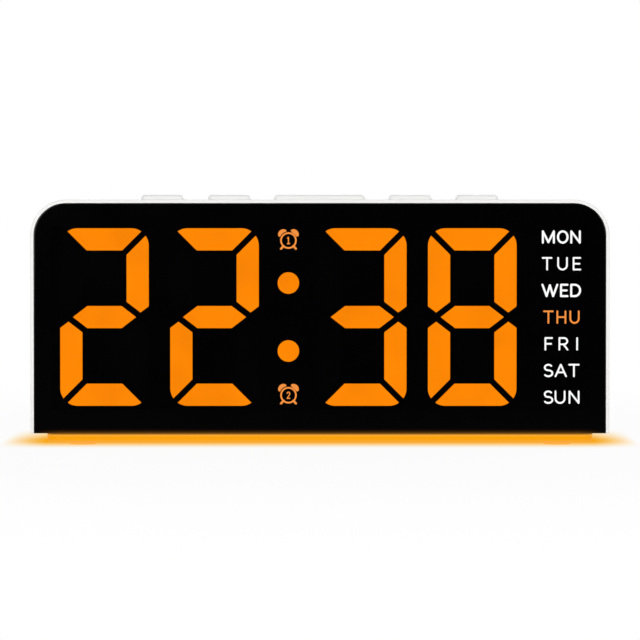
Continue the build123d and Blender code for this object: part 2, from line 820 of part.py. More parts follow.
with BuildPart() as weekday_windows:
    with BuildSketch(upright(reflector_y)):
        with Locations(*weekday_places):
            RectangleRounded(
                weekday_window_width * plug_share, weekday_window_height * plug_share, reflector_edge_radius
            )
    extrude(amount=-plug_depth)
finish(weekday_windows, "weekday_windows")

# Printed films over the weekday windows and the alarm windows
with BuildPart() as legend_films:
    with BuildSketch(upright(reflector_y)):
        with Locations((weekday_x, middle_z)):
            RectangleRounded(
                weekday_window_width + 2 * film_margin,
                (weekday_count - 1) * weekday_pitch + weekday_window_height + film_margin,
                film_margin,
            )
        with Locations(*alarm_places):
            Circle(alarm_window_radius + film_margin)
    extrude(amount=film_thickness)
finish(legend_films, "legend_films")

# Display board, notched round the case bosses, with its lamps and its driver chip
with BuildPart() as display_board:
    with BuildSketch(upright(display_board_y)):
        case_outline(case_wall + display_board_gap)
        with Locations(*[(side * case_screw_x, floor_z + display_board_gap) for side in (-1, 1)]):
            Rectangle(
                2 * (boss_radius + notch_gap),
                2 * (boss_inset + boss_radius + notch_gap - display_board_gap),
                mode=Mode.SUBTRACT,
            )
        with Locations(*display_boss_places):
            Circle(small_screw_radius + thread_gap, mode=Mode.SUBTRACT)
    extrude(amount=-board_thickness)
finish(display_board, "display_board")

level_led_x = (side_inner_x - mitre) * throat_share - led_setback
led_places = list(colon_places) + list(alarm_places)
for digit_x in digit_xs:
    for shape, right, up in bars.values():
        bar_x, bar_z = bar_shapes[shape][1]
        for side in (-1, 1):
            along = (0, side * led_pitch / 2) if shape == "side" else (side * level_led_x, 0)
            led_places.append((digit_x + bar_x * right + along[0], middle_z + bar_z * up + along[1]))
for window_x, window_z in weekday_places:
    led_places += [(window_x - led_pitch / 2, window_z), (window_x + led_pitch / 2, window_z)]

with BuildPart() as display_leds:
    with BuildSketch(upright(display_board_y)):
        with Locations(*led_places):
            Rectangle(led_size, led_size)
    extrude(amount=led_height)
finish(display_leds, "display_leds")

driver_z = middle_z + driver_rise
with BuildPart() as display_driver:
    with BuildSketch(upright(display_board_back_y, driver_x, driver_z)):
        Rectangle(driver_length, driver_width)
    extrude(amount=-driver_height)
    chamfer(display_driver.faces().sort_by(Axis.Y)[-1].edges(), length=pin_height)
    with BuildSketch(upright(display_board_back_y, driver_x, driver_z)):
        with GridLocations(pin_pitch, 0, pin_count, 1):
            Rectangle(pin_width, driver_width + 2 * pin_reach)
    extrude(amount=-pin_height)
finish(display_driver, "display_driver")

# Buttons: hollow caps with a flange under the top of the case, and the plungers that they press
for name, (button_x, button_width) in buttons.items():
    with BuildPart() as button:
        with BuildSketch(Plane.XY.offset(flange_bottom)):
            with Locations((button_x, button_y)):
                RectangleRounded(button_width, button_depth, button_corner_radius)
        extrude(amount=button_top - flange_bottom)
        fillet(button.faces().sort_by(Axis.Z)[-1].edges(), radius=button_top_radius)
        with BuildSketch(Plane.XY.offset(flange_bottom)):
            with Locations((button_x, button_y)):
                RectangleRounded(
                    button_width + 2 * flange_side, button_depth + 2 * flange_front, button_corner_radius
                )
        extrude(amount=flange_thickness)
        with BuildSketch(Plane.XY.offset(flange_bottom)):
            with Locations((button_x, button_y)):
                Rectangle(button_width - 2 * button_wall, button_depth - 2 * button_wall)
        extrude(amount=case_top - flange_bottom, mode=Mode.SUBTRACT)
        with BuildSketch(Plane.XY.offset(stem_bottom)):
            with Locations((button_x, button_y)):
                Circle(stem_radius)
        extrude(amount=case_top - stem_bottom)
    finish(button, name)
    with BuildPart() as plunger:
        with BuildSketch(Plane.XY.offset(switch_top - plunger_seat)):
            with Locations((button_x, button_y)):
                Circle(plunger_radius)
        extrude(amount=plunger_seat + plunger_rise)
        fillet(plunger.faces().sort_by(Axis.Z)[-1].edges(), radius=case_edge_radius)
    finish(plunger, name + "_plunger")

with BuildPart() as tact_switches:
    with BuildSketch(Plane.XY.offset(button_board_top)):
        with Locations(*[(button_x, button_y) for button_x, width in buttons.values()]):
            RectangleRounded(switch_size, switch_size, case_edge_radius)
    extrude(amount=switch_height)
    with BuildSketch(Plane.XY.offset(switch_top)):
        with Locations(*[(button_x, button_y) for button_x, width in buttons.values()]):
            Circle(plunger_radius + plunger_gap)
    extrude(amount=-switch_bore_depth, mode=Mode.SUBTRACT)
finish(tact_switches, "tact_switches")

with BuildPart() as button_board:
    with BuildSketch(Plane.XY.offset(button_board_bottom)):
        with Locations((0, button_y)):
            Rectangle(button_board_length, button_board_width)
        with Locations(*[(side * x, button_y) for side in (-1, 1) for x in button_boss_xs]):
            Circle(small_screw_radius + thread_gap, mode=Mode.SUBTRACT)
    extrude(amount=thin_board)
finish(button_board, "button_board")

# Main board with its chip, crystal and capacitors
with BuildPart() as main_board:
    with BuildSketch(Plane.XY.offset(main_board_bottom)):
        with Locations(
            ((main_board_left + main_board_right) / 2, (main_board_front_y + main_board_back_y) / 2)
        ):
            Rectangle(main_board_right - main_board_left, main_board_back_y - main_board_front_y)
        with Locations(*[(x, main_boss_y) for x in main_boss_xs]):
            Circle(small_screw_radius + thread_gap, mode=Mode.SUBTRACT)
    extrude(amount=board_thickness)
finish(main_board, "main_board")

with BuildPart() as control_chip:
    with BuildSketch(Plane.XY.offset(main_board_top)):
        with Locations((chip_x, chip_y)):
            Rectangle(chip_size, chip_size)
    extrude(amount=chip_height)
    chamfer(control_chip.faces().sort_by(Axis.Z)[-1].edges(), length=pin_height)
finish(control_chip, "control_chip")

with BuildPart() as timing_crystal:
    with BuildSketch(Plane.XY.offset(main_board_top)):
        with Locations((crystal_x, crystal_y)):
            SlotOverall(crystal_length, crystal_width)
    extrude(amount=crystal_height)
    fillet(timing_crystal.faces().sort_by(Axis.Z)[-1].edges(), radius=crystal_edge_radius)
finish(timing_crystal, "timing_crystal")

with BuildPart() as power_capacitors:
    for capacitor_x in capacitor_xs:
        with BuildSketch(upright(capacitor_y, capacitor_x, main_board_top)):
            with BuildLine():
                Polyline((0, 0), (capacitor_radius, 0), (capacitor_radius, capacitor_groove_height))
                ThreePointArc(
                    (capacitor_radius, capacitor_groove_height),
                    (capacitor_radius - capacitor_groove, capacitor_groove_height + capacitor_groove),
                    (capacitor_radius, capacitor_groove_height + 2 * capacitor_groove),
                )
                Polyline(
                    (capacitor_radius, capacitor_groove_height + 2 * capacitor_groove),
                    (capacitor_radius, capacitor_height),
                    (0, capacitor_height),
                    (0, 0),
                )
            make_face()
        revolve(axis=Axis((capacitor_x, capacitor_y, main_board_top), (0, 0, 1)))
finish(power_capacitors, "power_capacitors")

# Power socket: a steel shell with the contact tongue inside
with BuildPart() as usb_shell:
    with BuildSketch(upright(usb_mouth_y, usb_x, usb_z)):
        SlotOverall(usb_width, usb_height)
        SlotOverall(usb_width - 2 * usb_wall, usb_height - 2 * usb_wall, mode=Mode.SUBTRACT)
    extrude(amount=usb_length)
finish(usb_shell, "usb_shell")

with BuildPart() as usb_tongue:
    with BuildSketch(upright(usb_mouth_y - usb_length, usb_x, usb_z)):
        SlotOverall(usb_width - 2 * usb_wall, usb_height - 2 * usb_wall)
    extrude(amount=-tongue_base)
    with BuildSketch(upright(usb_mouth_y - usb_length, usb_x, usb_z)):
        Rectangle(tongue_width, tongue_thickness)
    extrude(amount=tongue_setback - usb_length)
finish(usb_tongue, "usb_tongue")

# Battery bay fittings: a bowed contact, a side clip and the coin cell
with BuildPart() as battery_contact:
    with BuildSketch(Plane.YZ.offset(cell_x - contact_width / 2)):
        bow_y = cell_front_y - contact_thickness
        root_y = bay_floor_y + contact_thickness
        low_z = cell_z - contact_length / 2
        high_z = cell_z + contact_length / 2
        with BuildLine():
            ThreePointArc((bay_floor_y, low_z), (bow_y, cell_z), (bay_floor_y, high_z))
            Line((bay_floor_y, high_z), (root_y, high_z))
            ThreePointArc((root_y, high_z), (cell_front_y, cell_z), (root_y, low_z))
            Line((root_y, low_z), (bay_floor_y, low_z))
        make_face()
    extrude(amount=contact_width)
finish(battery_contact, "battery_contact")

with BuildPart() as battery_clip:
    with BuildSketch(upright(bay_floor_y, cell_x, cell_z)):
        with BuildLine():
            clip_inner = cell_radius + clip_gap
            clip_outer = clip_inner + clip_thickness
            inner_arc = CenterArc((0, 0), clip_inner, -clip_angle / 2, clip_angle)
            outer_arc = CenterArc((0, 0), clip_outer, -clip_angle / 2, clip_angle)
            Line(inner_arc @ 0, outer_arc @ 0)
            Line(inner_arc @ 1, outer_arc @ 1)
        make_face()
    extrude(amount=bay_floor_y - cell_back_y)
finish(battery_clip, "battery_clip")

with BuildPart() as coin_cell:
    with BuildSketch(upright(cell_front_y, cell_x, cell_z)):
        Circle(cell_radius - cell_rim)
    extrude(amount=-cell_rim)
    with BuildSketch(upright(cell_front_y + cell_rim, cell_x, cell_z)):
        Circle(cell_radius)
    extrude(amount=cell_rim - cell_thickness)
    fillet(coin_cell.faces().sort_by(Axis.Y)[-1].edges(), radius=cell_rim)
finish(coin_cell, "coin_cell")


def cut_cross(face, head_radius):
    # The cross recess of a screw's head, cut along the plane's normal
    with BuildSketch(face) as cross:
        Rectangle(2 * drive_reach_share * head_radius, drive_width_share * head_radius)
        Rectangle(drive_width_share * head_radius, 2 * drive_reach_share * head_radius)
    extrude(cross.sketch, amount=drive_depth, mode=Mode.SUBTRACT)


# Battery door: a flush plate with two tabs behind its sill, a finger grip and a captive screw
with BuildPart() as battery_door:
    with BuildSketch(upright(back_y, cell_x, door_z)):
        RectangleRounded(door_width, door_height, door_corner_radius)
    extrude(amount=door_thickness)
    fillet(battery_door.faces().sort_by(Axis.Y)[-1].edges(), radius=door_edge_radius)
    with BuildSketch(upright(door_inside_y, cell_x, cell_z)):
        Circle(rib_radius)
        Circle(rib_radius - rib_width, mode=Mode.SUBTRACT)
    extrude(amount=rib_height)
    for side in (-1, 1):
        tab_left = cell_x + side * tab_x - tab_width / 2
        tab_back_y = rear_wall_y - tab_gap
        tab_front_y = tab_back_y - tab_thickness
        with BuildSketch(Plane.YZ.offset(tab_left)):
            with BuildLine():
                Polyline(
                    (door_inside_y, door_bottom),
                    (door_inside_y, door_bottom + tab_root),
                    (tab_front_y, door_bottom + tab_root),
                    (tab_front_y, door_bottom - tab_reach),
                    (tab_back_y, door_bottom - tab_reach),
                    (tab_back_y, door_bottom),
                    close=True,
                )
            make_face()
        extrude(amount=tab_width)
    with BuildSketch(upright(back_y, cell_x, door_screw_z)):
        Circle(door_screw_radius + screw_gap)
    extrude(amount=door_thickness, mode=Mode.SUBTRACT)
    with BuildSketch(upright(back_y, cell_x, door_screw_z)):
        Circle(door_screw_head_radius + screw_gap)
    extrude(amount=door_screw_head_height, mode=Mode.SUBTRACT)
    with BuildSketch(upright(back_y, cell_x, cell_z)):
        with GridLocations(0, grip_pitch, 1, grip_count):
            SlotOverall(grip_width, grip_height)
    extrude(amount=grip_depth, mode=Mode.SUBTRACT)
finish(battery_door, "battery_door")

with BuildPart() as door_screw:
    head_seat_y = back_y - door_screw_head_height
    with BuildSketch(upright(head_seat_y, cell_x, door_screw_z)):
        Circle(door_screw_head_radius)
    extrude(amount=grip_depth - door_screw_head_height)
    with BuildSketch(upright(head_seat_y, cell_x, door_screw_z)):
        Circle(door_screw_radius)
    extrude(amount=door_screw_length)
    cut_cross(upright(back_y - grip_depth, cell_x, door_screw_z), door_screw_head_radius)
finish(door_screw, "door_screw")

# Sounder: a rim, a cone and a magnet, turned about the middle of the grille
with BuildPart() as sounder:
    with BuildSketch(upright(sounder_back_y, sounder_x, sounder_z)):
        Circle(sounder_radius)
    extrude(amount=sounder_rim)
    with BuildSketch(upright(cone_start_y, sounder_x, sounder_z)):
        Circle(sounder_cone_radius)
    with BuildSketch(upright(cone_start_y - sounder_cone_depth, sounder_x, sounder_z)):
        Circle(sounder_magnet_radius)
    loft(ruled=True)
    with BuildSketch(upright(cone_start_y - sounder_cone_depth, sounder_x, sounder_z)):
        Circle(sounder_magnet_radius)
    extrude(amount=sounder_magnet_depth)
finish(sounder, "sounder")

# Night light: a board on the floor of the case, whose lamps hang in slots over the milky plate
with BuildPart() as night_light_board:
    with BuildSketch(Plane.XY.offset(floor_z)):
        with Locations((0, light_board_y)):
            Rectangle(light_board_length, light_board_width)
    extrude(amount=thin_board)
finish(night_light_board, "night_light_board")

with BuildPart() as night_light_leds:
    with BuildSketch(Plane.XY.offset(floor_z)):
        with Locations(*light_places):
            Rectangle(light_led_length, light_led_width)
    extrude(amount=-light_led_height)
finish(night_light_leds, "night_light_leds")

with BuildPart() as base_diffuser:
    with BuildSketch(Plane.XY.offset(foot_gap)):
        RectangleRounded(diffuser_width, diffuser_depth, diffuser_corner_radius)
    extrude(amount=diffuser_thickness)
    fillet(base_diffuser.faces().sort_by(Axis.Z)[0].edges(), radius=diffuser_edge_radius)
    with BuildSketch(Plane.XY.offset(case_bottom)):
        with Locations((0, light_board_y)):
            RectangleRounded(light_board_length, light_board_width, light_slot_gap)
    extrude(amount=-diffuser_channel_depth, mode=Mode.SUBTRACT)
    with BuildSketch(Plane.XY.offset(foot_gap)):
        with GridLocations(2 * foot_x, 2 * foot_y, 2, 2):
            Circle(foot_radius)
    extrude(amount=foot_recess, mode=Mode.SUBTRACT)
    with BuildSketch(Plane.XY.offset(foot_gap)):
        with Locations(*base_screw_places):
            Circle(small_screw_radius + screw_gap)
    extrude(amount=diffuser_thickness, mode=Mode.SUBTRACT)
    with BuildSketch(Plane.XY.offset(foot_gap)):
        with Locations(*base_screw_places):
            Circle(small_screw_head_radius + screw_gap)
    extrude(amount=small_screw_head_height, mode=Mode.SUBTRACT)
finish(base_diffuser, "base_diffuser")

with BuildPart() as rubber_feet:
    with BuildSketch(Plane.XY):
        with GridLocations(2 * foot_x, 2 * foot_y, 2, 2):
            Circle(foot_radius)
    extrude(amount=foot_gap + foot_recess)
    fillet(rubber_feet.faces().group_by(Axis.Z)[0].edges(), radius=foot_edge_radius)
finish(rubber_feet, "rubber_feet")


def add_screws(heads, radius, length, head_radius, head_height):
    # Screws whose heads sit on the planes given, and whose shanks follow the planes' normals
    for seat in heads:
        with BuildSketch(seat) as head:
            Circle(head_radius)
        extrude(head.sketch, amount=-head_height)
        with BuildSketch(seat) as shank:
            Circle(radius)
        extrude(shank.sketch, amount=length)
        cut_cross(seat.offset(-head_height), head_radius)


with BuildPart() as case_screws:
    add_screws(
        [upright(case_head_y, side * case_screw_x, case_boss_z) for side in (-1, 1)],
        case_screw_radius,
        case_screw_length,
        case_screw_head_radius,
        case_screw_head_height,
    )
finish(case_screws, "case_screws")

with BuildPart() as display_screws:
    add_screws(
        [upright(display_board_back_y, x, z) for x, z in display_boss_places],
        small_screw_radius,
        small_screw_length,
        small_screw_head_radius,
        small_screw_head_height,
    )
finish(display_screws, "display_screws")

with BuildPart() as board_screws:
    add_screws(
        [
            Plane((side * x, button_y, button_board_bottom), z_dir=(0, 0, 1))
            for side in (-1, 1)
            for x in button_boss_xs
        ]
        + [Plane((x, main_boss_y, main_board_top), z_dir=(0, 0, -1)) for x in main_boss_xs],
        small_screw_radius,
        small_screw_length,
        small_screw_head_radius,
        small_screw_head_height,
    )
finish(board_screws, "board_screws")

with BuildPart() as base_screws:
    add_screws(
        [Plane((x, y, foot_gap + small_screw_head_height), z_dir=(0, 0, 1)) for x, y in base_screw_places],
        small_screw_radius,
        small_screw_length,
        small_screw_head_radius,
        small_screw_head_height,
    )
finish(base_screws, "base_screws")


def add_run(x, corners, bend, draw_section):
    # A wire or ribbon along runs in the upright plane at x, each joined to the next by an arc
    with BuildLine(Plane.YZ.offset(x)) as route:
        FilletPolyline(*corners, radius=bend)
    with BuildSketch(Plane(origin=route.line @ 0, x_dir=(1, 0, 0), z_dir=route.line % 0)) as section:
        draw_section()
    sweep(section.sketch, path=route.line)


# Ribbons from the main board to the display board and to the button board
connector_top = main_board_top + connector_height
display_plug_y = display_board_back_y + connector_height
display_plug_z = connector_top + display_ribbon_rise
button_plug_z = button_board_bottom - connector_height
with BuildPart() as display_ribbon:
    add_run(
        display_ribbon_x,
        [
            (display_ribbon_y, connector_top),
            (display_ribbon_y, display_plug_z),
            (display_plug_y, display_plug_z),
        ],
        display_ribbon_bend,
        lambda: Rectangle(display_ribbon_width, ribbon_thickness),
    )
finish(display_ribbon, "display_ribbon")

slant_low = connector_top + button_ribbon_rise
with BuildPart() as button_ribbon:
    add_run(
        button_ribbon_x,
        [
            (button_ribbon_y, connector_top),
            (button_ribbon_y, slant_low),
            (button_y, slant_low + button_ribbon_slant),
            (button_y, button_plug_z),
        ],
        button_ribbon_bend,
        lambda: Rectangle(button_ribbon_width, ribbon_thickness),
    )
finish(button_ribbon, "button_ribbon")

with BuildPart() as ribbon_connectors:
    for ribbon_x, ribbon_y, ribbon_width in (
        (display_ribbon_x, display_ribbon_y, display_ribbon_width),
        (button_ribbon_x, button_ribbon_y, button_ribbon_width),
    ):
        with BuildSketch(Plane.XY.offset(main_board_top)):
            with Locations((ribbon_x, ribbon_y)):
                Rectangle(ribbon_width + 2 * connector_side, connector_depth)
        extrude(amount=connector_height)
    with BuildSketch(upright(display_board_back_y, display_ribbon_x, display_plug_z)):
        Rectangle(display_ribbon_width + 2 * connector_side, connector_depth)
    extrude(amount=-connector_height)
    with BuildSketch(Plane.XY.offset(button_board_bottom)):
        with Locations((button_ribbon_x, button_y)):
            Rectangle(button_ribbon_width + 2 * connector_side, connector_depth)
    extrude(amount=-connector_height)
finish(ribbon_connectors, "ribbon_connectors")

# Pairs of wires to the sounder, the battery bay and the night light
with BuildPart() as inner_wires:
    for start_x, corners in (
        (
            sounder_wire_x,
            [
                (sounder_wire_y, main_board_top),
                (sounder_wire_y, sounder_z - sounder_wire_drop),
                (magnet_y, sounder_z - sounder_wire_drop),
            ],
        ),
        (
            cell_wire_x,
            [
                (cell_wire_y, main_board_top),
                (cell_wire_y, cell_z - cell_wire_drop),
                (bay_front_y, cell_z - cell_wire_drop),
            ],
        ),
        (
            light_wire_x,
            [
                (light_board_y, light_board_top),
                (light_board_y, light_board_top + light_wire_rise),
                (light_wire_y, light_board_top + light_wire_rise),
                (light_wire_y, main_board_bottom),
            ],
        ),
    ):
        for number in range(2):
            add_run(start_x + number * wire_pitch, corners, wire_bend, lambda: Circle(wire_diameter / 2))
finish(inner_wires, "inner_wires")
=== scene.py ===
import math

import bmesh
import bpy
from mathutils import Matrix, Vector


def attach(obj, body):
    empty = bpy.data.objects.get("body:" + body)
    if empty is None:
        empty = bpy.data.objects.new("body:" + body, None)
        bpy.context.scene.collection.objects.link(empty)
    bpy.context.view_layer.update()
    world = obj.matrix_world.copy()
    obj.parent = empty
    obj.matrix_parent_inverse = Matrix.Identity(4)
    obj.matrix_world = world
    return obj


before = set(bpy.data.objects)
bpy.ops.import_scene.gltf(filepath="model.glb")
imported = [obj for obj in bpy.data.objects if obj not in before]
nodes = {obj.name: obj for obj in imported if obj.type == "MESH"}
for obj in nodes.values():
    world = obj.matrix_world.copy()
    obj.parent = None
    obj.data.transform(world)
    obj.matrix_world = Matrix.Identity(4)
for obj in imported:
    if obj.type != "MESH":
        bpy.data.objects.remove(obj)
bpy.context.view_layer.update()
print("CAD frame loaded:", len(nodes), "nodes")


# helpers

def linearColour(hexText):
    # an sRGB hex value as linear light, fully opaque
    parts = [int(hexText[place:place + 2], 16) / 255 for place in (1, 3, 5)]
    return [part / 12.92 if part <= 0.04045 else ((part + 0.055) / 1.055) ** 2.4 for part in parts] + [1.0]


def addNode(tree, kind, settings=None, links=None):
    # a setting goes to the socket of that name or number, or else to the node's own value of that name
    node = tree.nodes.new(kind)
    for name, value in (settings or {}).items():
        if isinstance(name, int) or name in node.inputs:
            node.inputs[name].default_value = value
        else:
            setattr(node, name, value)
    for name, socket in (links or {}).items():
        tree.links.new(socket, node.inputs[name])
    return node


def setStops(ramp, stops):
    while len(ramp.color_ramp.elements) < len(stops):
        ramp.color_ramp.elements.new(0.5)
    for stop, (position, colour) in zip(ramp.color_ramp.elements, stops):
        stop.position = position
        stop.color = linearColour(colour)


def raysThatShow(tree):
    # 1 for rays that show a surface to the camera, straight, in gloss or through clear pieces,
    # and 0 for the rays of the light that the surface throws on other things
    rays = addNode(tree, "ShaderNodeLightPath").outputs
    shown = addNode(
        tree, "ShaderNodeMath", {"operation": "MAXIMUM"}, {0: rays["Is Camera Ray"], 1: rays["Is Glossy Ray"]}
    )
    shown = addNode(
        tree, "ShaderNodeMath", {"operation": "MAXIMUM"},
        {0: shown.outputs[0], 1: rays["Is Transmission Ray"]},
    )
    return shown.outputs[0], rays["Is Glossy Ray"]


def startMaterial(name, settings):
    material = bpy.data.materials.new(name)
    material.use_nodes = True
    tree = material.node_tree
    tree.nodes.clear()
    shader = addNode(tree, "ShaderNodeBsdfPrincipled", settings)
    addNode(tree, "ShaderNodeOutputMaterial", None, {"Surface": shader.outputs[0]})
    place = addNode(tree, "ShaderNodeTexCoord").outputs["Object"]
    return material, tree, shader, place


surfaceNoise = {
    "driftDetail": 3.0, "grainDetail": 2.0,
    "usual": (0.3, 0.7),  # most of a noise lies between these
}


def addSurface(tree, shader, place, look):
    # the colour drifts slowly, and a fine grain varies gloss and relief, with sizes in mm; the real grain
    # is finer than a pixel on most pieces, about 0.1 mm, and is drawn as coarse as it needs to show
    drift = addNode(
        tree, "ShaderNodeTexNoise", {"Scale": 1000 / look["driftMm"], "Detail": surfaceNoise["driftDetail"]},
        {"Vector": place},
    )
    colour = addNode(
        tree, "ShaderNodeMix",
        {"data_type": "RGBA", 6: linearColour(look["colour"]), 7: linearColour(look["driftColour"])},
        {0: drift.outputs["Fac"]},
    )
    grain = addNode(
        tree, "ShaderNodeTexNoise", {"Scale": 1000 / look["grainMm"], "Detail": surfaceNoise["grainDetail"]},
        {"Vector": place},
    )
    rough = addNode(
        tree, "ShaderNodeMapRange",
        {
            "From Min": surfaceNoise["usual"][0], "From Max": surfaceNoise["usual"][1],
            "To Min": look["roughness"][0], "To Max": look["roughness"][1],
        },
        {"Value": grain.outputs["Fac"]},
    )
    bump = addNode(
        tree, "ShaderNodeBump", {"Strength": 1.0, "Distance": look["reliefMm"] / 1000},
        {"Height": grain.outputs["Fac"]},
    )
    tree.links.new(colour.outputs[2], shader.inputs["Base Color"])
    tree.links.new(rough.outputs[0], shader.inputs["Roughness"])
    tree.links.new(bump.outputs[0], shader.inputs["Normal"])
    return colour


def plainMaterial(name, look):
    # what is the same all over the surface stands in "shader" and is set on the shader's own sockets
    material, tree, shader, place = startMaterial(name, look["shader"])
    addSurface(tree, shader, place, look)
    return material


def metalMaterial(name, look):
    # a metal keeps the default IOR; its grain is drawn out along the way it was worked
    material, tree, shader, place = startMaterial(name, {"Metallic": 1.0})
    stretched = addNode(tree, "ShaderNodeMapping", {"Scale": look["stretch"]}, {"Vector": place})
    addSurface(tree, shader, stretched.outputs[0], look)
    return material


def dress(material, *names):
    for name in names:
        for slot in nodes[name].material_slots:
            slot.material = material


# camera: level with the top of the case, so that the top is edge on and a little floor shows in front

viewpoint = {
    "place": (0.00003, -1.221, 0.070),
    "target": (0.00003, -0.021, 0.03574),
    "fieldAtFront": 0.18227,  # what the photograph's width covers at the display
    "sensor": 36.0,
    "clip": (0.01, 60.0),
}
cameraData = bpy.data.cameras.new("photoCamera")
camera = bpy.data.objects.new("photoCamera", cameraData)
bpy.context.scene.collection.objects.link(camera)
toTarget = Vector(viewpoint["target"]) - Vector(viewpoint["place"])
camera.location = viewpoint["place"]
camera.rotation_euler = toTarget.to_track_quat("-Z", "Y").to_euler()
cameraData.sensor_width = viewpoint["sensor"]
cameraData.lens = viewpoint["sensor"] * toTarget.length / viewpoint["fieldAtFront"]
cameraData.clip_start, cameraData.clip_end = viewpoint["clip"]
bpy.context.scene.camera = camera
bpy.context.scene.view_settings.view_transform = "Standard"
print("camera set, lens", round(cameraData.lens, 1), "mm")


# studio: white all round, with three soft lamps

studio = {
    "wall": "#FFFFFF", "ambient": 0.42,  # colour all round, and how strongly it lights the clock
    # a black card in front, where the camera is, that only gloss shows: it keeps the lens black,
    # and it fades where a direction's share along Y is between these two
    "card": "#080808", "cardEdge": (-0.96, -0.90),
    "lamps": {
        # place, width, height, watts
        "keyLamp": ((-0.52, -0.97, 0.22), 0.62, 0.4, 4.9),
        "fillLamp": ((0.75, -0.75, 0.25), 0.62, 0.4, 3.0),
        "backLamp": ((0.35, 0.95, 0.35), 0.9, 0.5, 4.0),
    },
    "lampTarget": (0, 0, 0.035),
}
world = bpy.data.worlds.new("paleStudio")
bpy.context.scene.world = world
world.use_nodes = True
tree = world.node_tree
tree.nodes.clear()
shown, glossy = raysThatShow(tree)
light = addNode(
    tree, "ShaderNodeBackground", {"Color": linearColour(studio["wall"]), "Strength": studio["ambient"]}
)
direction = addNode(tree, "ShaderNodeTexCoord").outputs["Generated"]
towards = addNode(tree, "ShaderNodeSeparateXYZ", None, {0: direction})
card = addNode(
    tree, "ShaderNodeMapRange",
    {"From Min": studio["cardEdge"][0], "From Max": studio["cardEdge"][1], "To Min": 1.0, "To Max": 0.0},
    {"Value": towards.outputs["Y"]},
)
card = addNode(tree, "ShaderNodeMath", {"operation": "MULTIPLY"}, {0: card.outputs[0], 1: glossy})
wall = addNode(
    tree, "ShaderNodeMix",
    {"data_type": "RGBA", 6: linearColour(studio["wall"]), 7: linearColour(studio["card"])},
    {0: card.outputs[0]},
)
backdrop = addNode(tree, "ShaderNodeBackground", {"Strength": 1.0}, {"Color": wall.outputs[2]})
mixed = addNode(tree, "ShaderNodeMixShader", None, {0: shown, 1: light.outputs[0], 2: backdrop.outputs[0]})
addNode(tree, "ShaderNodeOutputWorld", None, {"Surface": mixed.outputs[0]})

for name, (place, width, height, watts) in studio["lamps"].items():
    lampData = bpy.data.lights.new(name, "AREA")
    lampData.shape = "RECTANGLE"
    lampData.size = width
    lampData.size_y = height
    lampData.energy = watts
    lamp = bpy.data.objects.new(name, lampData)
    lamp.location = place
    lamp.rotation_euler = (Vector(studio["lampTarget"]) - Vector(place)).to_track_quat("-Z", "Y").to_euler()
    bpy.context.scene.collection.objects.link(lamp)
print("studio set")


# floor: a sweep of matte paper, white with no gloss, with the amber pool of the night light painted into its
# colour

floorLook = {
    "reach": 8.0, "sides": 96,
    "colour": "#F6F6F6",
    "ownLight": 0.93,  # share of the floor's white that doesn't come from the lamps, near the clock
    "allOwn": (0.15, 0.4),  # the rest becomes its own too between these distances from the clock's middle
    # the pool fades at its ends between these, and in front between these, fast at first
    "poolAcross": (0.0788, 0.0918), "poolFront": (-0.0025, -0.0345), "frontPower": 1.4,
    # behind, it fades from here over a length, which grows from the middle of the clock to its ends
    "poolBack": 0.010, "poolLengths": (0.040, 0.051), "poolEnds": (0.045, 0.082),
    "poolStops": (
        (0.0, "#FFFFFF"), (0.1, "#FEF6E7"), (0.2, "#FFECCF"), (0.3, "#FEE3B7"), (0.4, "#FDD99F"),
        (0.5, "#FED187"), (0.6, "#FBC56F"), (0.7, "#F8BE57"), (0.8, "#FBB63F"), (0.9, "#FCAE27"),
        (1.0, "#FAA40F"),
    ),
    # the black card lies on the floor too: where it starts in front, half its width, and how it widens
    "cardStart": (-0.042, -0.059),
    "cardHalf": (0.11, 0.16),
    "cardWidening": 0.3,
}
bm = bmesh.new()
bmesh.ops.create_circle(bm, cap_ends=True, segments=floorLook["sides"], radius=floorLook["reach"])
floorMesh = bpy.data.meshes.new("paleFloor")
bm.to_mesh(floorMesh)
bm.free()
floor = bpy.data.objects.new("paleFloor", floorMesh)
bpy.context.scene.collection.objects.link(floor)

paper = bpy.data.materials.new("mattePaperSweep")
paper.use_nodes = True
tree = paper.node_tree
tree.nodes.clear()
place = addNode(tree, "ShaderNodeTexCoord").outputs["Object"]
parts = addNode(tree, "ShaderNodeSeparateXYZ", None, {0: place})
along = parts.outputs["Y"]
across = addNode(tree, "ShaderNodeMath", {"operation": "ABSOLUTE"}, {0: parts.outputs["X"]}).outputs[0]

# the painted pool of light: strongest under the base, less in front, behind and at the ends
fadeAcross = addNode(
    tree, "ShaderNodeMapRange",
    {
        "From Min": floorLook["poolAcross"][0], "From Max": floorLook["poolAcross"][1],
        "To Min": 1.0, "To Max": 0.0,
    },
    {"Value": across},
)
fadeFront = addNode(
    tree, "ShaderNodeMapRange",
    {
        "From Min": floorLook["poolFront"][0], "From Max": floorLook["poolFront"][1],
        "To Min": 1.0, "To Max": 0.0,
    },
    {"Value": along},
)
fadeFront = addNode(
    tree, "ShaderNodeMath", {"operation": "POWER", 1: floorLook["frontPower"]}, {0: fadeFront.outputs[0]}
)
backLength = addNode(
    tree, "ShaderNodeMapRange",
    {
        "interpolation_type": "SMOOTHSTEP",
        "From Min": floorLook["poolEnds"][0], "From Max": floorLook["poolEnds"][1],
        "To Min": floorLook["poolLengths"][0], "To Max": floorLook["poolLengths"][1],
    },
    {"Value": across},
)
behind = addNode(tree, "ShaderNodeMath", {"operation": "SUBTRACT", 1: floorLook["poolBack"]}, {0: along})
behind = addNode(
    tree, "ShaderNodeMath", {"operation": "DIVIDE"}, {0: behind.outputs[0], 1: backLength.outputs[0]}
)
fadeBack = addNode(
    tree, "ShaderNodeMath", {"operation": "SUBTRACT", "use_clamp": True, 0: 1.0}, {1: behind.outputs[0]}
)
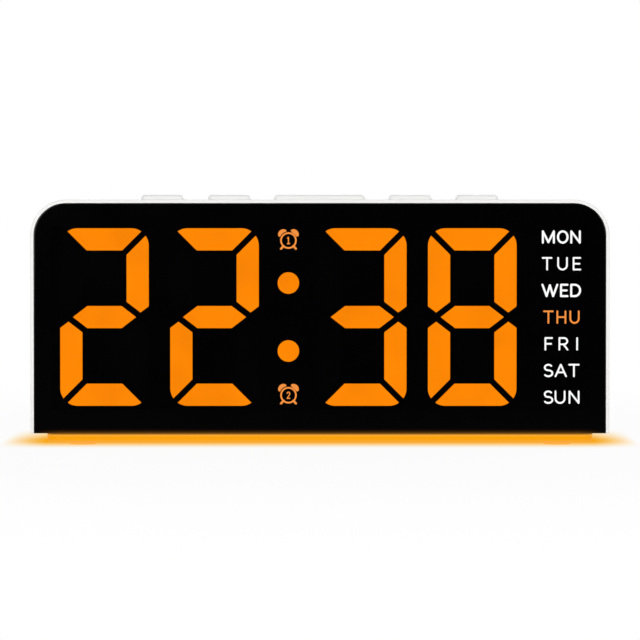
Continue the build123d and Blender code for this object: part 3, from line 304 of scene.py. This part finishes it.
fadeAlong = addNode(
    tree, "ShaderNodeMath", {"operation": "MINIMUM"}, {0: fadeFront.outputs[0], 1: fadeBack.outputs[0]}
)
pool = addNode(
    tree, "ShaderNodeMath", {"operation": "MULTIPLY"}, {0: fadeAcross.outputs[0], 1: fadeAlong.outputs[0]}
)
ramp = addNode(tree, "ShaderNodeValToRGB", None, {"Fac": pool.outputs[0]})
setStops(ramp, floorLook["poolStops"])

# the card on the floor, for gloss alone
shown, glossy = raysThatShow(tree)
besides = addNode(
    tree, "ShaderNodeMath", {"operation": "MULTIPLY_ADD", 1: floorLook["cardWidening"]}, {0: along, 2: across}
)
card = addNode(
    tree, "ShaderNodeMapRange",
    {
        "From Min": floorLook["cardHalf"][0], "From Max": floorLook["cardHalf"][1],
        "To Min": 1.0, "To Max": 0.0,
    },
    {"Value": besides.outputs[0]},
)
inFront = addNode(
    tree, "ShaderNodeMapRange",
    {"From Min": floorLook["cardStart"][0], "From Max": floorLook["cardStart"][1]},
    {"Value": along},
)
card = addNode(tree, "ShaderNodeMath", {"operation": "MULTIPLY"}, {0: card.outputs[0], 1: inFront.outputs[0]})
card = addNode(tree, "ShaderNodeMath", {"operation": "MULTIPLY"}, {0: card.outputs[0], 1: glossy})
carded = addNode(
    tree, "ShaderNodeMix", {"data_type": "RGBA", 7: linearColour(studio["card"])},
    {0: card.outputs[0], 6: ramp.outputs[0]},
)

# the clock is lit by plain paper; the paper that shows is mostly its own white, so that it stays pale,
# and the rest of it is lit by the lamps, so that it keeps the clock's shadow
away = addNode(tree, "ShaderNodeVectorMath", {"operation": "LENGTH"}, {0: place})
ownShare = addNode(
    tree, "ShaderNodeMapRange",
    {
        "From Min": floorLook["allOwn"][0], "From Max": floorLook["allOwn"][1],
        "To Min": floorLook["ownLight"], "To Max": 1.0,
    },
    {"Value": away.outputs["Value"]},
)
plain = addNode(tree, "ShaderNodeBsdfDiffuse", {"Color": linearColour(floorLook["colour"])})
tinted = addNode(tree, "ShaderNodeBsdfDiffuse", None, {"Color": ramp.outputs[0]})
own = addNode(tree, "ShaderNodeEmission", {"Strength": 1.0}, {"Color": carded.outputs[2]})
seen = addNode(
    tree, "ShaderNodeMixShader", None, {0: ownShare.outputs[0], 1: tinted.outputs[0], 2: own.outputs[0]}
)
mixed = addNode(tree, "ShaderNodeMixShader", None, {0: shown, 1: plain.outputs[0], 2: seen.outputs[0]})
addNode(tree, "ShaderNodeOutputMaterial", None, {"Surface": mixed.outputs[0]})
floorMesh.materials.append(paper)
print("floor set")


# case and battery door: ABS from a spark-eroded mould, satin, with a soft wide highlight and no mirror gloss

whiteAbs = {
    "colour": "#F6F6F4", "driftColour": "#F1F1EE", "driftMm": 30.0,
    "grainMm": 0.45, "reliefMm": 0.012,  # the real grain is 0.1 mm
    "roughness": (0.5, 0.62),
    "shader": {"IOR": 1.53, "Specular IOR Level": 0.3},
}
dress(plainMaterial("sparkTexturedWhiteAbs", whiteAbs), "main_housing", "rear_cover", "battery_door")

# button caps: the same ABS from a polished mould, a little glossier, so their edges catch the light

buttonAbs = {
    "colour": "#F8F8F6", "driftColour": "#F4F4F2", "driftMm": 20.0,
    "grainMm": 0.4, "reliefMm": 0.008,
    "roughness": (0.38, 0.46),
    "shader": {"IOR": 1.53, "Specular IOR Level": 0.3},
}
buttons = ("alarm_one_button", "set_button", "snooze_bar", "alarm_two_button", "light_button")
dress(plainMaterial("polishedMouldedAbsCaps", buttonAbs), *buttons)
print("case and buttons dressed")


# front lens: smoked cast acrylic, laser cut, black and glossy until something lights up behind it

smokedLens = {
    "colour": "#020202", "alpha": 0.55,
    "shader": {"IOR": 1.49, "Specular IOR Level": 0.25},
    "smearMm": 12.0, "smearDetail": 4.0, "smearUsual": (0.35, 0.75),  # faint wiping marks in the gloss
    "roughness": (0.07, 0.126),
    # a painted amber glow just above the lower edge, for the night light that enters it and scatters there
    "edgeColour": "#FBA50D", "edgeHigh": 0.0050, "edgeLow": 0.0032, "edgePower": 3.0, "edgeStrength": 0.17,
    "edgeEnds": (0.074, 0.0805),
    "windowHalf": (0.0764, 0.0262), "windowMiddle": 0.0365, "printEdge": 0.00008,  # printed black outside it
}
lensAcrylic, tree, shader, place = startMaterial(
    "smokedCastAcrylic",
    {
        "Base Color": linearColour(smokedLens["colour"]),
        "Emission Color": linearColour(smokedLens["edgeColour"]),
        **smokedLens["shader"],
    },
)
smear = addNode(
    tree, "ShaderNodeTexNoise", {"Scale": 1000 / smokedLens["smearMm"], "Detail": smokedLens["smearDetail"]},
    {"Vector": place},
)
rough = addNode(
    tree, "ShaderNodeMapRange",
    {
        "From Min": smokedLens["smearUsual"][0], "From Max": smokedLens["smearUsual"][1],
        "To Min": smokedLens["roughness"][0], "To Max": smokedLens["roughness"][1],
    },
    {"Value": smear.outputs["Fac"]},
)
tree.links.new(rough.outputs[0], shader.inputs["Roughness"])

parts = addNode(tree, "ShaderNodeSeparateXYZ", None, {0: place})
across = addNode(tree, "ShaderNodeMath", {"operation": "ABSOLUTE"}, {0: parts.outputs["X"]})
low = addNode(
    tree, "ShaderNodeMapRange",
    {"From Min": smokedLens["edgeHigh"], "From Max": smokedLens["edgeLow"], "To Min": 0.0, "To Max": 1.0},
    {"Value": parts.outputs["Z"]},
)
low = addNode(tree, "ShaderNodeMath", {"operation": "POWER", 1: smokedLens["edgePower"]}, {0: low.outputs[0]})
ends = addNode(
    tree, "ShaderNodeMapRange",
    {
        "From Min": smokedLens["edgeEnds"][0], "From Max": smokedLens["edgeEnds"][1],
        "To Min": smokedLens["edgeStrength"], "To Max": 0.0,
    },
    {"Value": across.outputs[0]},
)
strength = addNode(tree, "ShaderNodeMath", {"operation": "MULTIPLY"}, {0: low.outputs[0], 1: ends.outputs[0]})
tree.links.new(strength.outputs[0], shader.inputs["Emission Strength"])

# how far a point lies outside the clear window, to the side or up and down
pastSide = addNode(
    tree, "ShaderNodeMath", {"operation": "SUBTRACT", 1: smokedLens["windowHalf"][0]}, {0: across.outputs[0]}
)
upDown = addNode(
    tree, "ShaderNodeMath", {"operation": "SUBTRACT", 1: smokedLens["windowMiddle"]}, {0: parts.outputs["Z"]}
)
upDown = addNode(tree, "ShaderNodeMath", {"operation": "ABSOLUTE"}, {0: upDown.outputs[0]})
pastTop = addNode(
    tree, "ShaderNodeMath", {"operation": "SUBTRACT", 1: smokedLens["windowHalf"][1]}, {0: upDown.outputs[0]}
)
past = addNode(
    tree, "ShaderNodeMath", {"operation": "MAXIMUM"}, {0: pastSide.outputs[0], 1: pastTop.outputs[0]}
)
alpha = addNode(
    tree, "ShaderNodeMapRange",
    {
        "From Min": -smokedLens["printEdge"], "From Max": smokedLens["printEdge"],
        "To Min": smokedLens["alpha"], "To Max": 1.0,
    },
    {"Value": past.outputs[0]},
)
tree.links.new(alpha.outputs[0], shader.inputs["Alpha"])
dress(lensAcrylic, "front_lens")

# light from behind passes the lens's two faces, so lit pieces are brighter by what both faces keep
throughLens = 1 / (1 - smokedLens["alpha"]) ** 2
print("lens dressed")


# lit bars and colon dots: cast diffusing resin, lit amber, even from edge to edge but for a faint drift

litResin = {
    "colour": "#5A2C04", "glow": "#FF8800", "roughness": 0.55,
    # the lamps behind show as a faint drift in brightness
    "strength": 0.98, "hotShare": 0.05, "hotMm": 11.0, "hotDetail": 1.0,
}
barResin, tree, shader, place = startMaterial(
    "castDiffusingResinLit",
    {
        "Base Color": linearColour(litResin["colour"]), "Roughness": litResin["roughness"],
        "Emission Color": linearColour(litResin["glow"]),
    },
)
hot = addNode(
    tree, "ShaderNodeTexNoise", {"Scale": 1000 / litResin["hotMm"], "Detail": litResin["hotDetail"]},
    {"Vector": place},
)
strength = addNode(
    tree, "ShaderNodeMapRange",
    {
        "From Min": surfaceNoise["usual"][0], "From Max": surfaceNoise["usual"][1],
        "To Min": litResin["strength"] * throughLens * (1 - litResin["hotShare"]),
        "To Max": litResin["strength"] * throughLens * (1 + litResin["hotShare"]),
    },
    {"Value": hot.outputs["Fac"]},
)
tree.links.new(strength.outputs[0], shader.inputs["Emission Strength"])
dress(barResin, "lit_bars", "colon_dots")

# unlit bars: the same resin, tinted, so that it is as dark as what surrounds it while it is off

unlitResin = {
    "colour": "#0D0B0A", "driftColour": "#100E0C", "driftMm": 4.0,
    "grainMm": 0.3, "reliefMm": 0.006,
    "roughness": (0.5, 0.6),
    "shader": {"IOR": 1.5, "Specular IOR Level": 0.1},
}
dress(plainMaterial("castDiffusingResinDark", unlitResin), "unlit_bars")

# windows behind the marks and the weekday names: the same resin without tint, milky and satin

clearResin = {
    "colour": "#D8D6CE", "driftColour": "#CFCDC4", "driftMm": 3.0,
    "grainMm": 0.3, "reliefMm": 0.006,
    "roughness": (0.5, 0.62),
    "shader": {"IOR": 1.5},
}
dress(plainMaterial("castDiffusingResinClear", clearResin), "alarm_windows", "weekday_windows")

# digit reflector: moulded ABS with its face printed black, matte, so that it vanishes behind the lens

blackReflector = {
    "colour": "#060606", "driftColour": "#080808", "driftMm": 10.0,
    "grainMm": 0.4, "reliefMm": 0.008,
    "roughness": (0.6, 0.75),
    "shader": {"IOR": 1.53, "Specular IOR Level": 0.06},
}
dress(plainMaterial("printedMatteBlackAbs", blackReflector), "digit_reflector")

# films over the windows: screen-printed polyester, smooth black ink with hardly any gloss

legendFilm = {
    "colour": "#050505", "driftColour": "#070707", "driftMm": 6.0,
    "grainMm": 0.5, "reliefMm": 0.003,
    "roughness": (0.45, 0.55),
    "shader": {"IOR": 1.6, "Specular IOR Level": 0.06},
}
dress(plainMaterial("screenPrintedPolyesterFilm", legendFilm), "legend_films")

# lens tape: die-cut acrylic foam, dull black with open pores along its cut edge

foamTape = {
    "colour": "#0A0A0A", "driftColour": "#0E0E0E", "driftMm": 4.0,
    "grainMm": 0.3, "reliefMm": 0.03,
    "roughness": (0.8, 0.95),
    "shader": {"IOR": 1.45},
}
dress(plainMaterial("dieCutAcrylicFoamTape", foamTape), "lens_tape")
print("display dressed")


# legends: weekday names and alarm marks, gaps in the films' ink lit from behind, made as thin pieces

legends = {
    "face": -0.01881, "thickness": 0.00006,  # just in front of the films, and how thick the pieces are
    "height": 0.0038, "stroke": 0.00049, "boldStroke": 0.00057, "endSteps": 30,
    "rowMiddle": 0.0365, "rowPitch": 0.00762,
    "roughness": 0.5,
    "white": {"colour": "#303030", "glow": "#FFFFFF", "strength": 1.0},
    "amber": {"colour": "#3A2208", "glow": "#F99644", "strength": 0.92},
}


def openingMaterial(name, look):
    # bare polyester where the ink is left out: flat, even light with crisp edges
    return startMaterial(
        name,
        {
            "Base Color": linearColour(look["colour"]), "Roughness": legends["roughness"],
            "Emission Color": linearColour(look["glow"]), "Emission Strength": look["strength"] * throughLens,
        },
    )[0]


glowWhite = openingMaterial("barePolyesterFilmLitWhite", legends["white"])
glowAmber = openingMaterial("barePolyesterFilmLitAmber", legends["amber"])


def arc(middle, radii, start, end, steps=14):
    # points round the middle, from one angle in degrees to another
    angles = [math.radians(start + (end - start) * step / steps) for step in range(steps + 1)]
    return [
        (middle[0] + radii[0] * math.cos(angle), middle[1] + radii[1] * math.sin(angle))
        for angle in angles
    ]


def addFace(bm, points):
    bm.faces.new([bm.verts.new((x, legends["face"], z)) for x, z in points])


def addStroke(bm, points, width):
    # a flat ribbon along the points with round ends and corners, facing the front
    half = width / 2
    for (x0, z0), (x1, z1) in zip(points, points[1:]):
        length = math.hypot(x1 - x0, z1 - z0)
        sideX, sideZ = -(z1 - z0) / length * half, (x1 - x0) / length * half
        addFace(bm, (
            (x0 - sideX, z0 - sideZ), (x1 - sideX, z1 - sideZ),
            (x1 + sideX, z1 + sideZ), (x0 + sideX, z0 + sideZ),
        ))
    lastAngle = 360 - 360 / legends["endSteps"]
    for point in points:
        addFace(bm, arc(point, (half, half), 0, lastAngle, legends["endSteps"] - 1))


def fitStroke(points, left, right, bottom, top, width):
    # from a box of 1 by 1 to a real one, with the stroke's width inside it
    wide = max(right - left - width, 0.0)
    high = top - bottom - width
    return [(left + width / 2 + x * wide, bottom + width / 2 + z * high) for x, z in points]


def addLegend(name, bm, material):
    mesh = bpy.data.meshes.new(name)
    bm.to_mesh(mesh)
    bm.free()
    mesh.materials.append(material)
    piece = bpy.data.objects.new(name, mesh)
    bpy.context.scene.collection.objects.link(piece)
    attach(piece, "case")
    thick = piece.modifiers.new("thickness", "SOLIDIFY")
    thick.thickness = legends["thickness"]
    thick.offset = 1.0


# centre lines of the letters in a box of 1 by 1
letters = {
    "M": [[(0, 0), (0, 1), (0.5, 0.04), (1, 1), (1, 0)]],
    "O": [arc((0.5, 0.5), (0.5, 0.5), 0, 360, 28)],
    "N": [[(0, 0), (0, 1), (1, 0), (1, 1)]],
    "T": [[(0, 1), (1, 1)], [(0.5, 1), (0.5, 0)]],
    "U": [[(0, 1)] + arc((0.5, 0.38), (0.5, 0.38), 180, 360) + [(1, 1)]],
    "E": [[(1, 1), (0, 1), (0, 0), (1, 0)], [(0, 0.5), (0.88, 0.5)]],
    "W": [[(0, 1), (0.28, 0), (0.5, 0.96), (0.72, 0), (1, 1)]],
    "D": [[(0, 0), (0, 1)] + arc((0.4, 0.5), (0.6, 0.5), 90, -90) + [(0, 0)]],
    "H": [[(0, 0), (0, 1)], [(1, 0), (1, 1)], [(0, 0.5), (1, 0.5)]],
    "F": [[(1, 1), (0, 1), (0, 0)], [(0, 0.5), (0.86, 0.5)]],
    "R": [[(0, 0), (0, 1)] + arc((0.55, 0.73), (0.42, 0.27), 90, -90) + [(0, 0.46)], [(0.5, 0.46), (1, 0)]],
    "I": [[(0.5, 0), (0.5, 1)]],
    "S": [arc((0.5, 0.755), (0.44, 0.245), 35, 250) + arc((0.5, 0.26), (0.5, 0.26), 75, -145)],
    "A": [[(0, 0), (0.5, 1), (1, 0)], [(0.18, 0.34), (0.82, 0.34)]],
}

# left and right edge of each letter, in mm from the middle of the clock, and the weight of the word
weekdays = [
    ("MON", ((63.3, 67.0), (67.6, 70.9), (71.4, 74.4)), "boldStroke"),
    ("TUE", ((63.3, 66.3), (67.7, 70.7), (72.1, 74.5)), "stroke"),
    ("WED", ((63.2, 68.0), (68.5, 70.9), (71.4, 74.5)), "boldStroke"),
    ("THU", ((63.7, 66.7), (67.5, 70.3), (71.2, 74.1)), "stroke"),
    ("FRI", ((64.1, 66.5), (68.1, 70.9), (73.1, 73.7)), "stroke"),
    ("SAT", ((63.8, 66.6), (67.0, 70.5), (70.9, 74.1)), "stroke"),
    ("SUN", ((63.8, 66.6), (67.0, 70.1), (71.0, 74.1)), "stroke"),
]
litWeekday = "THU"
middleRow = len(weekdays) // 2
for row, (word, edges, weight) in enumerate(weekdays):
    middle = legends["rowMiddle"] + (middleRow - row) * legends["rowPitch"]
    bottom, top = middle - legends["height"] / 2, middle + legends["height"] / 2
    width = legends[weight]
    bm = bmesh.new()
    for letter, (left, right) in zip(word, edges):
        for points in letters[letter]:
            addStroke(bm, fitStroke(points, left / 1000, right / 1000, bottom, top, width), width)
    addLegend("weekdayName" + word.title(), bm, glowAmber if word == litWeekday else glowWhite)

alarmMark = {
    "x": -0.00897, "middles": (0.05835, 0.01420),
    "ring": 0.00213, "ringStroke": 0.00046, "ringSteps": 40,
    # each bell is half an ellipse on the ring; turns are in degrees from straight up or straight down
    "bellHalf": 0.00138, "bellRise": 0.00112, "bellSteps": 18,
    "bellAway": 0.00262, "bellTurn": 40, "bellSpan": 27,
    "legStart": 0.0021, "legEnd": 0.00315, "legStroke": 0.00062, "legTurn": 42,
    "figureHigh": 0.0021, "figureWide": 0.0011, "figureStroke": 0.0003,
}
figures = {
    "One": [[(0.15, 0.86), (0.5, 1), (0.5, 0)], [(0.1, 0), (0.9, 0)]],
    "Two": [arc((0.5, 0.72), (0.46, 0.28), 165, -35) + [(0.02, 0), (1, 0)]],
}


def bellOutline(middle, side):
    # up over the bell's dome, then back along the ring
    turn = 90 + side * alarmMark["bellTurn"]
    outX, outZ = math.cos(math.radians(turn)), math.sin(math.radians(turn))
    halfEllipse = arc((0, 0), (alarmMark["bellHalf"], alarmMark["bellRise"]), 0, 180, alarmMark["bellSteps"])
    dome = [
        (middle[0] + outX * (alarmMark["bellAway"] + rise) + outZ * run,
         middle[1] + outZ * (alarmMark["bellAway"] + rise) - outX * run)
        for run, rise in halfEllipse
    ]
    span = side * alarmMark["bellSpan"]
    return dome + arc(middle, (alarmMark["bellAway"],) * 2, turn + span, turn - span)


for (name, strokes), height in zip(figures.items(), alarmMark["middles"]):
    bm = bmesh.new()
    middle = (alarmMark["x"], height)
    ring = arc(middle, (alarmMark["ring"],) * 2, 0, 360, alarmMark["ringSteps"])
    addStroke(bm, ring, alarmMark["ringStroke"])
    for side in (-1, 1):
        addFace(bm, bellOutline(middle, side))
        turn = math.radians(270 + side * alarmMark["legTurn"])
        leg = [
            (middle[0] + math.cos(turn) * reach, middle[1] + math.sin(turn) * reach)
            for reach in (alarmMark["legStart"], alarmMark["legEnd"])
        ]
        addStroke(bm, leg, alarmMark["legStroke"])
    left, right = middle[0] - alarmMark["figureWide"] / 2, middle[0] + alarmMark["figureWide"] / 2
    bottom, top = height - alarmMark["figureHigh"] / 2, height + alarmMark["figureHigh"] / 2
    for points in strokes:
        placed = fitStroke(points, left, right, bottom, top, alarmMark["figureStroke"])
        addStroke(bm, placed, alarmMark["figureStroke"])
    addLegend("alarmMark" + name, bm, glowAmber)
print("legends made")


# base: moulded milky acrylic plate, glowing amber along its whole edge, palest near the floor, with painted
# shade on top

milkyBase = {
    "colour": "#8C5600", "roughness": 0.45,
    "shader": {"IOR": 1.49, "Specular IOR Level": 0.05},
    "low": 0.0009, "high": 0.0034, "strength": 0.76,
    # its glow is painted darker towards its top, as shade where the case hangs over it
    "stops": (  # from its lower face to where the case shades it
        (0.0, "#F5B03C"), (0.14, "#F8AC2E"), (0.32, "#FBA408"), (0.6, "#FBA404"), (0.72, "#FDB43C"),
        (0.8, "#E4A840"), (0.87, "#966414"), (1.0, "#3E2600"),
    ),
}
baseAcrylic, tree, shader, place = startMaterial(
    "milkyMouldedAcrylicLit",
    {
        "Base Color": linearColour(milkyBase["colour"]), "Roughness": milkyBase["roughness"],
        "Emission Strength": milkyBase["strength"],
        **milkyBase["shader"],
    },
)
parts = addNode(tree, "ShaderNodeSeparateXYZ", None, {0: place})
share = addNode(
    tree, "ShaderNodeMapRange", {"From Min": milkyBase["low"], "From Max": milkyBase["high"]},
    {"Value": parts.outputs["Z"]},
)
ramp = addNode(tree, "ShaderNodeValToRGB", None, {"Fac": share.outputs[0]})
setStops(ramp, milkyBase["stops"])
tree.links.new(ramp.outputs[0], shader.inputs["Emission Color"])
dress(baseAcrylic, "base_diffuser")

# feet: moulded clear silicone under the lit base; its amber glow is painted into them, a little paler and
# without gloss

clearFeet = {
    "colour": "#A87020", "driftColour": "#98641A", "driftMm": 3.0,
    "grainMm": 0.3, "reliefMm": 0.01,
    "roughness": (0.4, 0.5),
    "shader": {
        "IOR": 1.41, "Specular IOR Level": 0.1,
        "Emission Color": linearColour("#FAB44C"), "Emission Strength": 0.72,
    },
}
dress(plainMaterial("mouldedClearSilicone", clearFeet), "rubber_feet")
print("base and feet dressed")


# plungers, sounder and socket tongue: moulded black nylon, slightly oily looking, between matte and satin

blackNylon = {
    "colour": "#0F0F10", "driftColour": "#151516", "driftMm": 4.0,
    "grainMm": 0.35, "reliefMm": 0.01,
    "roughness": (0.45, 0.6),
    "shader": {"IOR": 1.53},
}
plungers = [button + "_plunger" for button in buttons]
dress(plainMaterial("mouldedBlackNylon", blackNylon), "usb_tongue", "sounder", *plungers)

# ribbon connectors: moulded natural nylon, the cream of uncoloured resin

paleNylon = {
    "colour": "#E8E2CE", "driftColour": "#DFD8C2", "driftMm": 4.0,
    "grainMm": 0.35, "reliefMm": 0.01,
    "roughness": (0.45, 0.6),
    "shader": {"IOR": 1.53},
}
dress(plainMaterial("mouldedNaturalNylon", paleNylon), "ribbon_connectors")

# chips and switches: transfer-moulded epoxy, charcoal and dull from its mineral filler

chipEpoxy = {
    "colour": "#101012", "driftColour": "#161618", "driftMm": 3.0,
    "grainMm": 0.2, "reliefMm": 0.01,
    "roughness": (0.6, 0.75),
    "shader": {"IOR": 1.55},
}
dress(plainMaterial("transferMouldedEpoxy", chipEpoxy), "display_driver", "control_chip", "tact_switches")

# lamps: cast resin with phosphor in it, butter yellow and smooth

lampResin = {
    "colour": "#F4D98A", "driftColour": "#EED07A", "driftMm": 1.0,
    "grainMm": 0.2, "reliefMm": 0.005,
    "roughness": (0.2, 0.3),
    "shader": {"IOR": 1.5},
}
dress(plainMaterial("castPhosphorResin", lampResin), "display_leds", "night_light_leds")

# boards: glass laminate under poured green solder mask, glossy, with the copper tracks a lighter green

boardMask = {
    "colour": "#0B4A26", "driftColour": "#0A4222", "driftMm": 10.0,
    "grainMm": 0.9, "reliefMm": 0.006,  # the glass weave's own step
    "roughness": (0.28, 0.36),
    "shader": {"IOR": 1.55},
    # the tracks' pitch in mm, and their width and run in pitches
    "track": "#176A38", "trackMm": 1.3, "trackWide": 0.16, "trackRun": 5.0,
}
boardGlass, tree, shader, place = startMaterial("solderMaskedGlassLaminate", boardMask["shader"])
colour = addSurface(tree, shader, place, boardMask)
ground, line = (0, 0, 0, 1), (1, 1, 1, 1)
tracks = addNode(
    tree, "ShaderNodeTexBrick",
    {
        "Scale": 1000 / boardMask["trackMm"], "Mortar Size": boardMask["trackWide"], "Row Height": 1.0,
        "Brick Width": boardMask["trackRun"], "Color1": ground, "Color2": ground, "Mortar": line,
    },
    {"Vector": place},
)
tinted = addNode(
    tree, "ShaderNodeMix", {"data_type": "RGBA", 7: linearColour(boardMask["track"])},
    {0: tracks.outputs["Color"], 6: colour.outputs[2]},
)
tree.links.new(tinted.outputs[2], shader.inputs["Base Color"])
dress(boardGlass, "display_board", "button_board", "main_board", "night_light_board")

# ribbons: extruded flat cable, light grey PVC with a waxy gloss

flatCable = {
    "colour": "#C9C7C0", "driftColour": "#BEBCB4", "driftMm": 4.0,
    "grainMm": 0.5, "reliefMm": 0.01,
    "roughness": (0.38, 0.48),
    "shader": {"IOR": 1.53},
}
dress(plainMaterial("extrudedRibbonPvc", flatCable), "display_ribbon", "button_ribbon")

# wires: extruded insulation, red PVC, smooth with a long highlight

wireCoat = {
    "colour": "#B01812", "driftColour": "#A01510", "driftMm": 4.0,
    "grainMm": 0.5, "reliefMm": 0.006,
    "roughness": (0.32, 0.42),
    "shader": {"IOR": 1.53},
}
dress(plainMaterial("extrudedWirePvc", wireCoat), "inner_wires")
print("inner parts dressed")


# socket shell and crystal can: drawn steel, tinned, soft silver with drawing lines along the depth

drawnTin = {
    "colour": "#BDBDB9", "driftColour": "#B0B0AB", "driftMm": 2.0, "stretch": (1.0, 0.15, 1.0),
    "grainMm": 0.15, "reliefMm": 0.004,
    "roughness": (0.26, 0.38),
}
dress(metalMaterial("drawnTinnedSteel", drawnTin), "usb_shell", "timing_crystal")

# screws: zinc plated steel, bluish grey and finely pitted

zincScrew = {
    "colour": "#A9ABAE", "driftColour": "#9A9CA0", "driftMm": 1.0, "stretch": (1.0, 1.0, 1.0),
    "grainMm": 0.12, "reliefMm": 0.004,
    "roughness": (0.3, 0.45),
}
screws = ("door_screw", "case_screws", "display_screws", "board_screws", "base_screws")
dress(metalMaterial("zincPlatedScrewSteel", zincScrew), *screws)

# cell contacts: stamped brass, nickel plated, warm silver with the strip's rolling lines

nickelSpring = {
    "colour": "#C9C2AE", "driftColour": "#BDB59F", "driftMm": 2.0, "stretch": (0.2, 1.0, 1.0),
    "grainMm": 0.15, "reliefMm": 0.003,
    "roughness": (0.22, 0.34),
}
dress(metalMaterial("stampedNickelPlatedBrass", nickelSpring), "battery_contact", "battery_clip")

# coin cell: stamped stainless steel, cool silver, brushed in one direction

cellSteel = {
    "colour": "#C4C4C2", "driftColour": "#B8B8B5", "driftMm": 3.0, "stretch": (1.0, 1.0, 0.12),
    "grainMm": 0.2, "reliefMm": 0.003,
    "roughness": (0.25, 0.36),
}
dress(metalMaterial("stampedStainlessCell", cellSteel), "coin_cell")

# capacitors: impact-extruded aluminium cans, pale grey with faint streaks

canAluminium = {
    "colour": "#B9BCC0", "driftColour": "#ADB0B5", "driftMm": 3.0, "stretch": (1.0, 1.0, 0.2),
    "grainMm": 0.2, "reliefMm": 0.003,
    "roughness": (0.3, 0.42),
}
dress(metalMaterial("impactExtrudedAluminium", canAluminium), "power_capacitors")
print("metals dressed")
